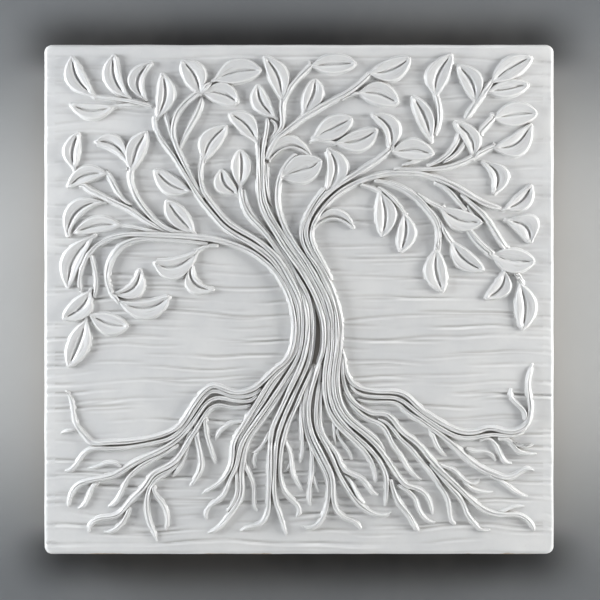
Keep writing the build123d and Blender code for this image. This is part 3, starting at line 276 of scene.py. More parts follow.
def pair_sides(left, right):
    """Slide the right side along, so that each of its points lies across from the left side's."""
    i = j = 0
    rungs = [(0, 0)]
    while i < len(left) - 1 or j < len(right) - 1:
        options = []
        if i < len(left) - 1:
            options.append((i + 1, j))
        if j < len(right) - 1:
            options.append((i, j + 1))
        if len(options) == 2:
            options.append((i + 1, j + 1))
        i, j = min(options, key=lambda rung: np.hypot(*(left[rung[0]] - right[rung[1]])))
        rungs.append((i, j))
    rungs = np.array(rungs, float)
    middle = (rungs[:, 0] + rungs[:, 1]) / 2
    order = np.linspace(0, middle[-1], round(middle[-1]) + 1)
    left_place = moving_mean(np.interp(order, middle, rungs[:, 0]), 4)
    right_place = moving_mean(np.interp(order, middle, rungs[:, 1]), 4)
    left_place[0] = right_place[0] = 0
    left_place[-1], right_place[-1] = len(left) - 1, len(right) - 1
    return (
        pick(left, left_place, np.arange(len(left))),
        pick(right, right_place, np.arange(len(right))),
    )


END_PITCH = 0.3  # spacing of a coil's rings near its ends
END_REACH = 2.4  # how far from an end that spacing lasts


def end_weighted_places(length, pitch):
    """Places along a line, close together near both ends."""
    if length < 3 * END_REACH:
        return np.linspace(0, length, max(8, round(length / END_PITCH / 1.6)))
    ends = np.arange(0, END_REACH, END_PITCH)
    middle = np.linspace(END_REACH, length - END_REACH, max(3, round(length / pitch)))
    return np.concatenate([ends, middle, length - ends[::-1]])


# ---- which sides lie against a neighbour ----
TOUCH_NEAR = 0.55  # outlines closer than this touch
TOUCH_FAR = 1.3  # outlines further apart than this are free of each other


class Neighbours:
    """Finds how far a point of one piece's outline is from any other piece's outline."""

    def __init__(self, outlines, leafy):
        self.owners = np.concatenate([np.full(len(line), k) for k, line in enumerate(outlines)])
        self.leafy = leafy
        points = np.concatenate(outlines)
        self.tree = KDTree(len(points))
        for index, (x, z) in enumerate(points):
            self.tree.insert((x, z, 0), index)
        self.tree.balance()

    def touching(self, line, owner):
        """1 where the line lies against another piece, 0 where it is free; then the same for leaves."""
        gaps = np.full(len(line), TOUCH_FAR)
        leaf_gaps = gaps.copy()
        for index, (x, z) in enumerate(line):
            for _, hit, distance in self.tree.find_range((x, z, 0), TOUCH_FAR):
                other = self.owners[hit]
                if other != owner:
                    gaps[index] = min(gaps[index], distance)
                    if self.leafy[other]:
                        leaf_gaps[index] = min(leaf_gaps[index], distance)
        return tuple(1 - smoothstep(gap, TOUCH_NEAR, TOUCH_FAR) for gap in (gaps, leaf_gaps))


# ---- coils ----
COIL_PITCH = 0.9  # spacing of the rings along a coil
COLUMNS_PER_MM = 11  # points across a coil, for each mm of its half width
DOME_POWER = 3.4  # the higher, the squarer a coil's section
FREE_HEIGHT = (0.7, 1.65)  # height of a coil on its own, and how it grows with its half width
PACKED_HEIGHT = (1.4, 2.0)  # the same between neighbours
SEAM_DEPTH = (0.7, 0.62)  # the same for the seam between neighbours
CAP_LENGTH = 1.2  # length of a coil's round end, in half widths
SPREAD = 0.16  # how far a coil spreads past its CAD outline
STRAND_WIDTH = 1.75  # what one scored strand measures across
STRAND_POWER = 2.4  # the higher, the flatter a strand and the sharper its grooves
GROOVE_DEPTH = (1.7, 1.25)  # of a groove: at most, and for each mm of its strand's half width
LIFTS = ((0.8, 22, 9, 0.55), (1.8, 8, 11, 0.22))  # unevenness: (across, along, seed, height)
JOIN_REACH = 3.0  # how far along a coil its end is softened
TAPER_REACH = 5.0  # how far along a coil a free end tapers
LEAF_END_DROP = 0.62  # how much lower a coil ends where it runs under a leaf
SINK = 1.2  # how deep a piece's underside lies in the slab
END_PUSH = 0.8  # how far the end of a coil is pressed into what it meets
LEAF_END_PUSH = 2.8  # and further still where that is a leaf
LEAF_PRESS = 0.32  # how far a coil's side is pressed into a leaf
FOOT_DROP = 0.55  # how far the smeared clay at a free side runs into the slab
FLANGE = ((0.3, 0.34), (0.75, 0.12), (1.25, -FOOT_DROP))  # that clay, as (reach, height)


def scored_grooves(u, half, place_noise, seed):
    """How deep the grooves between a coil's strands are, at u from -1 to 1 across each ring."""
    random = np.random.default_rng(seed)
    strands = int(np.clip(round(2 * np.percentile(half, 70) / STRAND_WIDTH), 1, 5))
    bounds = [np.full(len(half), -1.0)]
    for strand in range(1, strands):
        wander = 0.3 / strands * ripple(place_noise / 34, strand * 7.3, seed + strand)
        bounds.append(-1 + 2 * strand / strands + wander + random.uniform(-0.08, 0.08))
    bounds.append(np.full(len(half), 1.0))
    scored = np.zeros((len(half), u.shape[1]))
    for strand in range(strands):
        low, high = bounds[strand][:, None], bounds[strand + 1][:, None]
        spot = np.clip((u - (low + high) / 2) / ((high - low) / 2), -1, 1)
        width = (high - low) / 2 * half[:, None]
        depth = np.minimum(GROOVE_DEPTH[0], GROOVE_DEPTH[1] * width)
        depth = depth * (0.85 + 0.3 * ripple(place_noise[:, None] / 42, strand * 3.1, seed + 50))
        drop = depth * (1 - np.sqrt(np.maximum(1 - np.abs(spot) ** STRAND_POWER, 0)))
        scored = np.where((u >= low) & (u <= high), drop, scored)
    return scored


def coil_rings(left, right, tall, neighbours, owner, seed):
    """Rings of a coil: a dome scored into strands, with a smeared foot where a side is free."""
    left, right = pair_sides(left, right)
    middle = moving_mean((left + right) / 2, 3)
    along = lengths_along(middle)
    keep = np.concatenate([[True], np.diff(along) > 1e-6])
    left, right, middle, along = left[keep], right[keep], middle[keep], along[keep]
    places = end_weighted_places(along[-1], COIL_PITCH)
    left, right = pick(left, places, along), pick(right, places, along)
    middle = (left + right) / 2
    across = (left - right) / 2
    half = np.maximum(np.hypot(across[:, 0], across[:, 1]), 0.05)
    across = across / half[:, None]
    body = moving_mean(half, 3)
    body = np.minimum(body, half * 1.6)
    against_left, leaf_left = neighbours.touching(left, owner)
    against_right, leaf_right = neighbours.touching(right, owner)
    against_left, against_right = moving_mean(against_left, 3), moving_mean(against_right, 3)
    against = np.maximum(against_left, against_right)
    leaf_side = moving_mean(np.maximum(leaf_left, leaf_right), 2)
    forward = unit(np.gradient(middle, places, axis=0))
    to_end = places[-1] - places
    from_start, from_end = np.exp(-places / JOIN_REACH), np.exp(-to_end / JOIN_REACH)
    slim = 1 - (1 - against[0]) * (1 - smoothstep(places, 0, TAPER_REACH))
    slim = slim * (1 - (1 - against[-1]) * (1 - smoothstep(to_end, 0, TAPER_REACH)))
    start_push = max(END_PUSH * against[0], LEAF_END_PUSH * leaf_side[0])
    end_push = max(END_PUSH * against[-1], LEAF_END_PUSH * leaf_side[-1])
    push = end_push * from_end - start_push * from_start
    middle = middle + forward * push[:, None]

    place_noise = places + seed * 13.7  # so that no two coils share their unevenness
    full = tall * (0.93 + 0.07 * ripple(place_noise / 38, 0.5, seed))
    free_tall = np.minimum(full, FREE_HEIGHT[0] + FREE_HEIGHT[1] * body)
    packed_tall = np.minimum(full, PACKED_HEIGHT[0] + PACKED_HEIGHT[1] * body)
    top = free_tall + (packed_tall - free_tall) * against
    for lean, near_end in ((leaf_side[0], from_start), (leaf_side[-1], from_end)):
        top = top * (1 - LEAF_END_DROP * lean * near_end)
    to_tip = np.minimum(places, to_end) + 0.1
    cap = round_end(np.minimum(to_tip / (CAP_LENGTH * body), 1), 1.0)
    top = np.maximum(top * (0.5 + 0.5 * slim) * (0.5 + 0.5 * cap), 0.7)
    seam = np.minimum(top * 0.8, SEAM_DEPTH[0] + SEAM_DEPTH[1] * body)
    seam = seam * (0.92 + 0.3 * ripple(place_noise / 30, 3.5, seed))
    left_edge, right_edge = (
        np.minimum(np.maximum(top - seam, 0.5) * packed + 0.5 * (1 - packed), top * 0.9)
        for packed in (against_left, against_right)
    )

    columns = int(np.clip(round(np.percentile(half, 80) * COLUMNS_PER_MM), 15, 47))
    u = np.sin(np.linspace(-math.pi / 2, math.pi / 2, columns))[None, :]
    dome = np.sqrt(np.maximum(1 - np.abs(u) ** DOME_POWER, 0))
    edge = np.where(u > 0, left_edge[:, None], right_edge[:, None])
    height = edge + (top[:, None] - edge) * dome

    fading = smoothstep(half, 0.9, 2.0)[:, None] * dome**0.7
    lift = sum(
        ripple(u * half[:, None] / wide, place_noise[:, None] / long, seed + number) * rise
        for wide, long, number, rise in LIFTS
    )
    grooves = scored_grooves(u, half, place_noise, seed)
    height = height - grooves * fading + lift * dome * smoothstep(half, 0.5, 1.6)[:, None]
    height = np.clip(height, 0.2, tall)

    swell = ((half + SPREAD + LEAF_PRESS * leaf_side) * (0.45 + 0.55 * slim) * cap)[:, None]
    flat = middle[:, None, :] + across[:, None, :] * (u * swell)[:, :, None]
    rows = [np.dstack([flat[:, :, 0], FACE_Y - height, flat[:, :, 1]])]
    size = smoothstep(half, 0.0, 1.4)
    right_foot, left_foot = [], []
    for side, against_side, edge_height, foot in (
        (-1, against_right, right_edge, right_foot),
        (1, against_left, left_edge, left_foot),
    ):
        for reach, rise in FLANGE:
            free_reach = reach * (0.45 + 0.55 * size)
            out = swell[:, 0] + free_reach * (1 - against_side) + reach * 0.06 * against_side
            low = rise * (0.5 + 0.5 * size) * (1 - against_side)
            low = low + (edge_height * (rise + FOOT_DROP) - FOOT_DROP) * against_side
            spot = middle + across * (side * out)[:, None]
            foot.append(column(spot, FACE_Y - low))
        foot.append(column(spot, FACE_Y + SINK))
    right_under = right_foot.pop()
    return np.concatenate(right_foot[::-1] + rows + left_foot + [right_under], axis=1), places


# ---- leaves ----
LEAF_ROWS = 46  # rings from base to tip
SIDE_POINTS = 61  # along one side of a leaf's outline while it is softened
LEAF_COLUMNS = 20  # from the slit to one side
LEAF_TUCK = 2.8  # how far a leaf's base is pushed into its stem
TIP_ROUND = 1.0  # how blunt a leaf's tip is
BASE_ROUND = 1.4  # how blunt its base is, where it runs into the stem
TIP_FULLNESS = 0.76  # power that fills out a leaf's outer half
CRESCENT_FULLNESS = -0.22  # power that swells a crescent's outer side
SLIT_SPAN = (0.17, 0.87)  # where along a leaf its slit starts and ends
SLIT_GAPE = (0.38, 0.55)  # half width of the slit: least and most
SLIT_DEPTH = (2.6, 3.3)  # least and most
SLIT_COLUMNS = (0, 0.55, 0.9, 1.15)  # the first points across a half, in half widths of the slit
SLIT_MIDDLE = 0.54  # where along the leaf the middle of its CAD slit lies
RIM_ROLL = 2.9  # how wide the rolled rim is
RIM_STEP = 0.55  # how far the lobe drops inside the rim
DISH = 1.1  # how far the lobe sinks towards the slit
LOBE_SLOPE = 0.75  # how much lower one lobe lies along the slit than the other


def leaf_ends(loop, slit):
    """Where on the outline the leaf's base and tip are, and the slit's end towards the base.

    The slit lies nearer the tip.
    """
    gaps = slit[:, None, :] - slit[None, :, :]
    reach = np.hypot(gaps[..., 0], gaps[..., 1])
    one, other = np.unravel_index(reach.argmax(), reach.shape)
    axis = (slit[one] - slit[other]) / reach[one, other]
    ends = []
    for way, near in ((axis, slit[one]), (-axis, slit[other])):
        arm = loop - near
        far = np.hypot(arm[:, 0], arm[:, 1])
        facing = arm @ way / np.maximum(far, 1e-6)
        score = np.where(facing > 0.55, far, -1)
        ends.append((int(score.argmax()), far[score.argmax()], near))
    ends.sort(key=lambda end: -end[1])
    (base, _, slit_base), (tip, _, _) = ends
    return base, tip, slit_base


def soft_side(side):
    """One side of a leaf with its corners rounded off, still running from base to tip."""
    along = lengths_along(side)
    line = pick(side, np.linspace(0, along[-1], SIDE_POINTS), along)
    straight = line[:1] + (line[-1:] - line[:1]) * np.linspace(0, 1, len(line))[:, None]
    bulge = line - straight
    mirrored = np.concatenate([-bulge[:0:-1], bulge, -bulge[-2::-1]])
    soft = moving_mean(moving_mean(mirrored, 8), 6)[len(line) - 1 : 2 * len(line) - 1]
    reach = np.hypot(bulge[:, 0], bulge[:, 1]).max()
    soft_reach = np.hypot(soft[:, 0], soft[:, 1]).max()
    return straight + soft * min(1.35, reach / max(soft_reach, 0.1))


def full_crescent(left, right):
    """Where both sides bend the same way, the outer one swells towards a round arc."""
    straight = left[:1] + (left[-1:] - left[:1]) * np.linspace(0, 1, len(left))[:, None]
    chord = left[-1] - left[0]
    across = np.array([-chord[1], chord[0]]) / np.hypot(*chord)
    bends = [((side - straight[: len(side)]) @ across) for side in (left, right)]
    peaks = [bend[np.abs(bend).argmax()] for bend in bends]
    if peaks[0] * peaks[1] < 0:
        return left, right
    outer = int(abs(peaks[1]) > abs(peaks[0]))
    sides = [left, right]
    share = np.abs(bends[outer] / peaks[outer])
    fuller = np.where(share > 0.01, np.maximum(share, 0.01) ** CRESCENT_FULLNESS, 1)
    sides[outer] = straight + (sides[outer] - straight) * fuller[:, None]
    return tuple(sides)


def leaf_rings(loop, slit, tall, neighbours, owner, seed):
    """Rings of a leaf: a rolled rim, two low lobes and a lens-shaped slit pressed along it."""
    random = np.random.default_rng(seed)
    base, tip, slit_base = leaf_ends(loop, slit)
    left, right = full_crescent(*(soft_side(side) for side in split_at(loop, base, tip)))
    share = 0.5 - 0.5 * np.cos(np.linspace(0.09, math.pi - 0.09, LEAF_ROWS))
    left, right = (pick(side, share, np.linspace(0, 1, len(side))) for side in (left, right))
    middle = (left + right) / 2
    chord = loop[tip] - loop[base]
    length = np.hypot(*chord)
    along = np.clip(((middle - loop[base]) @ chord) / length**2, 0, 1)
    offset = slit.mean(0) - pick(middle, [np.interp(SLIT_MIDDLE, along, share)], share)[0]
    spine = middle + offset * (np.sin(np.pi * share) ** 0.8)[:, None]
    left_against, _ = neighbours.touching(left, owner)
    right_against, _ = neighbours.touching(right, owner)
    left_against, right_against = moving_mean(left_against, 1), moving_mean(right_against, 1)
    neck = 0.8 + 0.2 * smoothstep(share, 0, 0.2)
    near_base = 1 - smoothstep(share, 0.3, 0.6)
    blunt = np.where(
        share < 0.5,
        round_end(share * length, BASE_ROUND),
        round_end((1 - share) * length, TIP_ROUND),
    )
    backward = (loop[base] - slit_base) / max(np.hypot(*(loop[base] - slit_base)), 0.1)
    tuck = backward * (LEAF_TUCK * np.exp(-share * length / 3.5))[:, None]
    spine, left, right = spine + tuck, left + tuck, right + tuck

    lens = np.clip((share - SLIT_SPAN[0]) / (SLIT_SPAN[1] - SLIT_SPAN[0]), 0, 1)
    lens = np.sin(np.pi * lens) ** 0.9
    gape = random.uniform(*SLIT_GAPE) * lens
    slit_depth = random.uniform(*SLIT_DEPTH) * lens**0.7
    high_side = random.choice([-1, 1])
    total = np.maximum(np.hypot(*(left - right).T) / 2, blunt)
    forward = unit(np.gradient(spine, axis=0))
    sideways = np.stack([-forward[:, 1], forward[:, 0]], 1)
    wide_middle = (left - right)[len(share) // 2] @ sideways[len(share) // 2]
    sideways = sideways * np.sign(wide_middle)
    base_fade = 0.62 + 0.38 * smoothstep(share * length, 0, 8)
    full = tall * base_fade * np.minimum(1, 0.42 + total / 3.2)
    full = full * (0.95 + 0.05 * ripple(share * 3, 0.2, seed))

    sides = []
    for side, edge_line, against in ((-1, right, right_against), (1, left, left_against)):
        reach = edge_line - spine
        width = np.maximum(np.hypot(reach[:, 0], reach[:, 1]), 0.05)
        steady = smoothstep(width, 0.3, 2.0)[:, None]
        outward = unit(reach / width[:, None] * steady + sideways * side * (1 - steady))
        widest = width.max()
        width = widest * (width / widest) ** (TIP_FULLNESS + (1 - TIP_FULLNESS) * near_base)
        width = np.maximum(width * neck, blunt) + 0.12
        inner = np.minimum(gape, width * 0.3)
        near = np.array(SLIT_COLUMNS)[None, :] * inner[:, None]
        turn = np.linspace(0, math.pi, LEAF_COLUMNS - len(SLIT_COLUMNS) + 1)[1:]
        rest = 0.25 * ((1 - np.cos(turn)) / 2) + 0.75 * np.sin(turn / 2)
        outer = near[:, -1:] + (width[:, None] - near[:, -1:]) * rest[None, :]
        across = np.concatenate([near, outer], axis=1)
        from_edge = width[:, None] - across
        roll = np.minimum(RIM_ROLL, width[:, None] * 0.8)
        rim = 1 - (1 - np.minimum(from_edge / roll, 1)) ** 2.6
        rim = np.maximum(rim, 0) ** 0.52
        inward = np.clip(1 - across / np.maximum(width[:, None] * 0.7, 0.1), 0, 1)
        dip = DISH * inward**1.5 * smoothstep(width, 1.5, 5)[:, None]
        inside_rim = smoothstep(from_edge, 1.0, 2.4) * smoothstep(width, 1.8, 4)[:, None]
        dip = dip + RIM_STEP * inside_rim
        beyond = across - inner[:, None]
        cut = slit_depth[:, None] * np.where(
            beyond < 0,
            1 - 0.25 * np.clip(1 + beyond / np.maximum(inner[:, None], 0.05), 0, 1) ** 2,
            0.75 * np.exp(-np.maximum(beyond, 0) / 0.6),
        )
        slope = 0.0
        if side == high_side:
            slope = LOBE_SLOPE * lens[:, None] * np.exp(-across / 2.6)
        lowest = 0.5 + (0.35 * full[:, None]) * against[:, None]
        body = full[:, None] - dip - cut - slope
        body = body + 0.16 * ripple(across / 3.4 + side * 5, share[:, None] * length / 7, seed)
        height = lowest + np.maximum(body - lowest, 0) * rim
        height = np.clip(np.maximum(height, 0.25), 0.25, tall)
        spots = spine[:, None, :] + outward[:, None, :] * across[:, :, None]
        surface = np.dstack([spots[..., 0], FACE_Y - height, spots[..., 1]])
        foot = []
        for step, rise in FLANGE:
            away = width + step * (1 - 0.7 * against)
            spot = spine + outward * away[:, None]
            foot.append(column(spot, FACE_Y - rise))
        foot.append(column(spot, FACE_Y + SINK))
        sides.append(np.concatenate([surface] + foot, axis=1))
    right_half, left_half = sides
    return np.concatenate([right_half[:, :0:-1], left_half], axis=1), share * length


# ---- the slab ----
GRID_HALF = 190.0  # the front's grid of points reaches this far from the middle
GRID_ROWS = 400
GRID_STEP = 2.3  # between columns
MARGIN_LINES = (191.2, 192.6, 194, 195.4)  # half sides of the loops round the grid
POCKET_STEP = 0.7  # between columns across the pocket in the trunk
POCKET_LOW, POCKET_HIGH = -54, 6
POCKET_DEPTH = 2.6
POCKET_SIDES = ("trunk_coil_5", "trunk_coil_6")  # the coils on either side of it
CORNER_RADIUS = 6.0
FRONT_ROUND = 3.0  # radius of the roll from the front to the sides
SIDE_DRAFT = math.tan(math.radians(3))
# of each set of trowel creases: (seed, length, spacing, depth)
CREASE_SETS = ((11, 70, 10.5, 1.0), (23, 45, 7.3, 0.6), (37, 110, 15.7, 0.8))


def trowel_marks(x, z):
    """Height of the slab's surface over its flat face, and how deep in a trowel crease it is."""
    level = z + 3.0 * ripple(x / 90, z / 60, 1) + 0.8 * ripple(x / 28, z / 24, 2)
    lower = 0.5 + 0.5 * smoothstep(-z, -110, 30)
    marks = 0.40 * ripple(x / 85, z / 20, 3)
    crease = np.zeros_like(marks)
    for seed, length, pitch, depth in CREASE_SETS:
        phase = level / pitch + 0.35 * ripple(x / 120, level / 40, seed)
        number = np.round(phase)
        above = (phase - number) * pitch
        shown = smoothstep(ripple(x / length + number * 3.71, number * 0.53, seed + 5), -0.2, 0.4)
        strength = lower * shown * depth
        lip = np.exp(-(((above + 2.0) / 1.3) ** 2))
        marks = marks + strength * (0.55 * lip - np.exp(-((above / 0.9) ** 2)))
        crease = np.maximum(crease, strength * np.exp(-((above / 0.7) ** 2)))
    return marks, crease


def pocket(x, z, left, right):
    """How far into the open pocket between two upright outlines each point is, from 0 to 1."""
    levels = np.arange(POCKET_LOW, POCKET_HIGH, 0.5)
    west = [left[np.abs(left[:, 1] - level) < 0.6, 0].max() for level in levels]
    east = [right[np.abs(right[:, 1] - level) < 0.6, 0].min() for level in levels]
    west = np.interp(z, levels, moving_mean(np.array(west), 3))
    east = np.interp(z, levels, moving_mean(np.array(east), 3))
    inside = smoothstep(np.minimum(x - west, east - x), -0.1, 0.9)
    ends = smoothstep(z, POCKET_LOW, POCKET_LOW + 5) * smoothstep(-z, -POCKET_HIGH, 6 - POCKET_HIGH)
    return inside * ends * smoothstep(east - west, 0.6, 2.2)


def rounded_square(points, half, radius):
    """Points of a sharp square outline moved to a square with round corners."""
    spots = points * (half / GRID_HALF)
    core = half - radius
    excess = np.maximum(np.abs(spots) - core, 0)
    inside_corner = (excess > 0).all(axis=1)
    length = np.maximum(np.hypot(excess[:, 0], excess[:, 1]), 1e-9)
    pulled = np.sign(spots) * (core + excess / length[:, None] * radius)
    return np.where(inside_corner[:, None], pulled, spots)


def slab_loops():
    """Loops from the front's grid round to the back: (half side, corner radius, y, creases)."""
    loops = [(half, 1 + (half - GRID_HALF) / 3, FACE_Y, 1.0) for half in MARGIN_LINES]
    widest_y = BACK_Y - 1
    flat_half = HALF_SIDE - (widest_y - FACE_Y) * SIDE_DRAFT - FRONT_ROUND
    for turn in np.linspace(0, math.radians(87), 8):
        out = FRONT_ROUND * math.sin(turn)
        back = FRONT_ROUND * (1 - math.cos(turn))
        radius = CORNER_RADIUS - FRONT_ROUND + out
        loops.append((flat_half + out, radius, FACE_Y + back, max(0.0, 0.8 - turn)))
    for y in np.linspace(FACE_Y + FRONT_ROUND, widest_y, 9)[1:]:
        loops.append((HALF_SIDE - (widest_y - y) * SIDE_DRAFT, CORNER_RADIUS, y, 0.0))
    loops.append((HALF_SIDE - 0.55, CORNER_RADIUS, widest_y + 0.45, 0.0))
    loops.append((HALF_SIDE - 1.1, CORNER_RADIUS - 1, BACK_Y, 0.0))
    return loops


def close_back(points, last_loop):
    """The points with the slab's back added, and the triangles that fill it."""
    outline = points[last_loop][:, (0, 2)]
    inner_x, inner_z = np.meshgrid(*[np.linspace(-192, 192, 49)] * 2)
    spots = [Vector(spot) for spot in outline]
    spots += [Vector(spot) for spot in zip(inner_x.ravel(), inner_z.ravel())]
    edges = [(k, (k + 1) % len(outline)) for k in range(len(outline))]
    verts, _, faces, origins, _, _ = delaunay_2d_cdt(spots, edges, [], 1, 0.001)
    numbers, extra = [], []
    for spot, origin in zip(verts, origins):
        if origin and origin[0] < len(outline):
            numbers.append(last_loop[origin[0]])
        else:
            numbers.append(len(points) + len(extra))
            extra.append((spot.x, BACK_Y, spot.y))
    triangles = np.array(numbers)[np.array([face for face in faces if len(face) == 3])]
    points = np.concatenate([points, extra])
    a, b, c = (points[triangles[:, k]] for k in range(3))
    turned = np.cross(b - a, c - a)[:, 1] < 0
    triangles[turned] = triangles[turned][:, ::-1]
    return points, triangles


def slab_skin(left, right):
    """The slab: a creased front with a pocket in it, a soft rim, drafted sides and a plain back."""
    around_pocket = left[np.abs(left[:, 1]) < -POCKET_LOW]
    start, end = around_pocket[:, 0].max() - 6, around_pocket[:, 0].max() + 10
    x_line = np.concatenate(
        [
            np.linspace(-GRID_HALF, start, round((start + GRID_HALF) / GRID_STEP)),
            np.arange(start + POCKET_STEP, end, POCKET_STEP),
            np.linspace(end, GRID_HALF, round((GRID_HALF - end) / GRID_STEP)),
        ]
    )
    z_line = np.linspace(-GRID_HALF, GRID_HALF, GRID_ROWS)
    x, z = np.meshgrid(x_line, z_line)
    height, crease = trowel_marks(x, z)
    pit = pocket(x, z, left, right)
    height = height * (1 - pit) - POCKET_DEPTH * pit
    front = np.stack([x.ravel(), (FACE_Y - height).ravel(), z.ravel()], 1)
    index = np.arange(x.size).reshape(x.shape)
    quads = [
        np.stack([index[:-1, :-1], index[:-1, 1:], index[1:, 1:], index[1:, :-1]], -1).reshape(-1, 4)
    ]
    rim = np.concatenate([index[0, :-1], index[:-1, -1], index[-1, :0:-1], index[:0:-1, 0]])
    outline = front[rim][:, (0, 2)]
    points = [front]
    before = rim
    count = len(front)
    around = lengths_along(outline)
    for half, radius, y, creased in slab_loops():
        wobble = 0.22 * ripple(around / 30, y / 9, 71) - 0.2
        spots = rounded_square(outline, half, radius)
        out = spots / np.maximum(np.abs(spots).max(axis=1), 1)[:, None]
        spots = spots + out * wobble[:, None] * (half >= MARGIN_LINES[-1])
        depth = y - creased * trowel_marks(spots[:, 0], spots[:, 1])[0]
        if half < HALF_SIDE - 1:
            depth = depth + 0.10 * ripple(around / 14, y / 5, 77) * (creased < 1)
        points.append(np.stack([spots[:, 0], depth, spots[:, 1]], 1))
        here = count + np.arange(len(rim))
        count += len(rim)
        quads.append(np.stack([before, here, np.roll(here, -1), np.roll(before, -1)], -1))
        before = here
    points, triangles = close_back(np.concatenate(points), before)
    skin = Skin()
    skin.add(points, np.concatenate(quads), triangles)
    # painted shade: the slab's trowel creases and the pocket in the trunk are painted darker through
    # this attribute
    painted_crease_shade = np.maximum(0.45 * crease, pit).ravel()
    painted_crease_shade = np.concatenate([painted_crease_shade, np.zeros(len(points) - len(painted_crease_shade))])
    return skin, painted_crease_shade


# ---- materials ----
class Nodes:
    """Short hand for building a node tree."""

    def __init__(self, tree):
        self.tree = tree
        tree.nodes.clear()

    def add(self, kind, inputs=None, **settings):
        node = self.tree.nodes.new("ShaderNode" + kind)
        for key, value in settings.items():
            setattr(node, key, value)
        for key, value in (inputs or {}).items():
            self.put(node.inputs[key], value)
        return node

    def put(self, socket, value):
        if isinstance(value, bpy.types.NodeSocket):
            self.tree.links.new(value, socket)
        elif isinstance(value, tuple) and len(value) == 3 and socket.type == "RGBA":
            socket.default_value = (*value, 1)
        else:
            socket.default_value = value

    def math(self, kind, one, two=0.0):
        node = self.add("Math", operation=kind)
        self.put(node.inputs[0], one)
        self.put(node.inputs[1], two)
        return node.outputs[0]

    def mix(self, factor, one, two):
        node = self.add("Mix", data_type="RGBA")
        self.put(node.inputs["Factor"], factor)
        self.put(node.inputs[6], one)
        self.put(node.inputs[7], two)
        return node.outputs[2]

    def noise(self, vector, scale, detail=3.0, roughness=0.5):
        return self.add(
            "TexNoise",
            {"Vector": vector, "Scale": scale, "Detail": detail, "Roughness": roughness},
        ).outputs[0]

    def ramp(self, value, low, high, out_low=0.0, out_high=1.0):
        node = self.add(
            "MapRange",
            {"Value": value, "From Min": low, "From Max": high, "To Min": out_low, "To Max": out_high},
            interpolation_type="SMOOTHSTEP",
        )
        return node.outputs[0]

    def position(self, stretch=(1, 1, 1)):
        spot = self.add("TexCoord").outputs["Object"]
        return self.add("Mapping", {"Vector": spot, "Scale": stretch}).outputs[0]

    def bump(self, height, strength, distance, normal=None):
        node = self.add(
            "Bump", {"Height": height, "Strength": strength, "Distance": distance}
        )
        if normal is not None:
            self.put(node.inputs["Normal"], normal)
        return node.outputs[0]

    def finish(self, **inputs):
        shader = self.add("BsdfPrincipled")
        for key, value in inputs.items():
            self.put(shader.inputs[key.replace("_", " ")], value)
        out = self.add("OutputMaterial")
        self.tree.links.new(shader.outputs[0], out.inputs[0])
        return shader


def new_material(name):
    material = bpy.data.materials.new(name)
    material.use_nodes = True
    return material, Nodes(material.node_tree)


# the colours of the white slip and of the clay under it, with the slip's painted highlight on edges
# (partly wear) and the painted shade of scored streaks, crevices, creases and the trunk pocket
SLIP_COOL, SLIP_WARM, EDGE_WEAR_AND_HIGHLIGHT = (0.79, 0.795, 0.80), (0.86, 0.86, 0.855), (0.97, 0.97, 0.965)
SPECKS, SCORE_SHADE_COLOUR = (0.66, 0.645, 0.62), (0.52, 0.50, 0.48)
CREVICE_SHADE_COLOUR, CREASE_SHADE_COLOUR = (0.35, 0.32, 0.29), (0.36, 0.33, 0.295)
BUFF_DARK, BUFF_LIGHT = (0.50, 0.40, 0.31), (0.62, 0.52, 0.42)
SLIP_ENDS = (FACE_Y + 6, FACE_Y + 8.5)  # where on the slab's sides the white slip stops
COAT = 0.4  # how strong the slip's satin sheen is


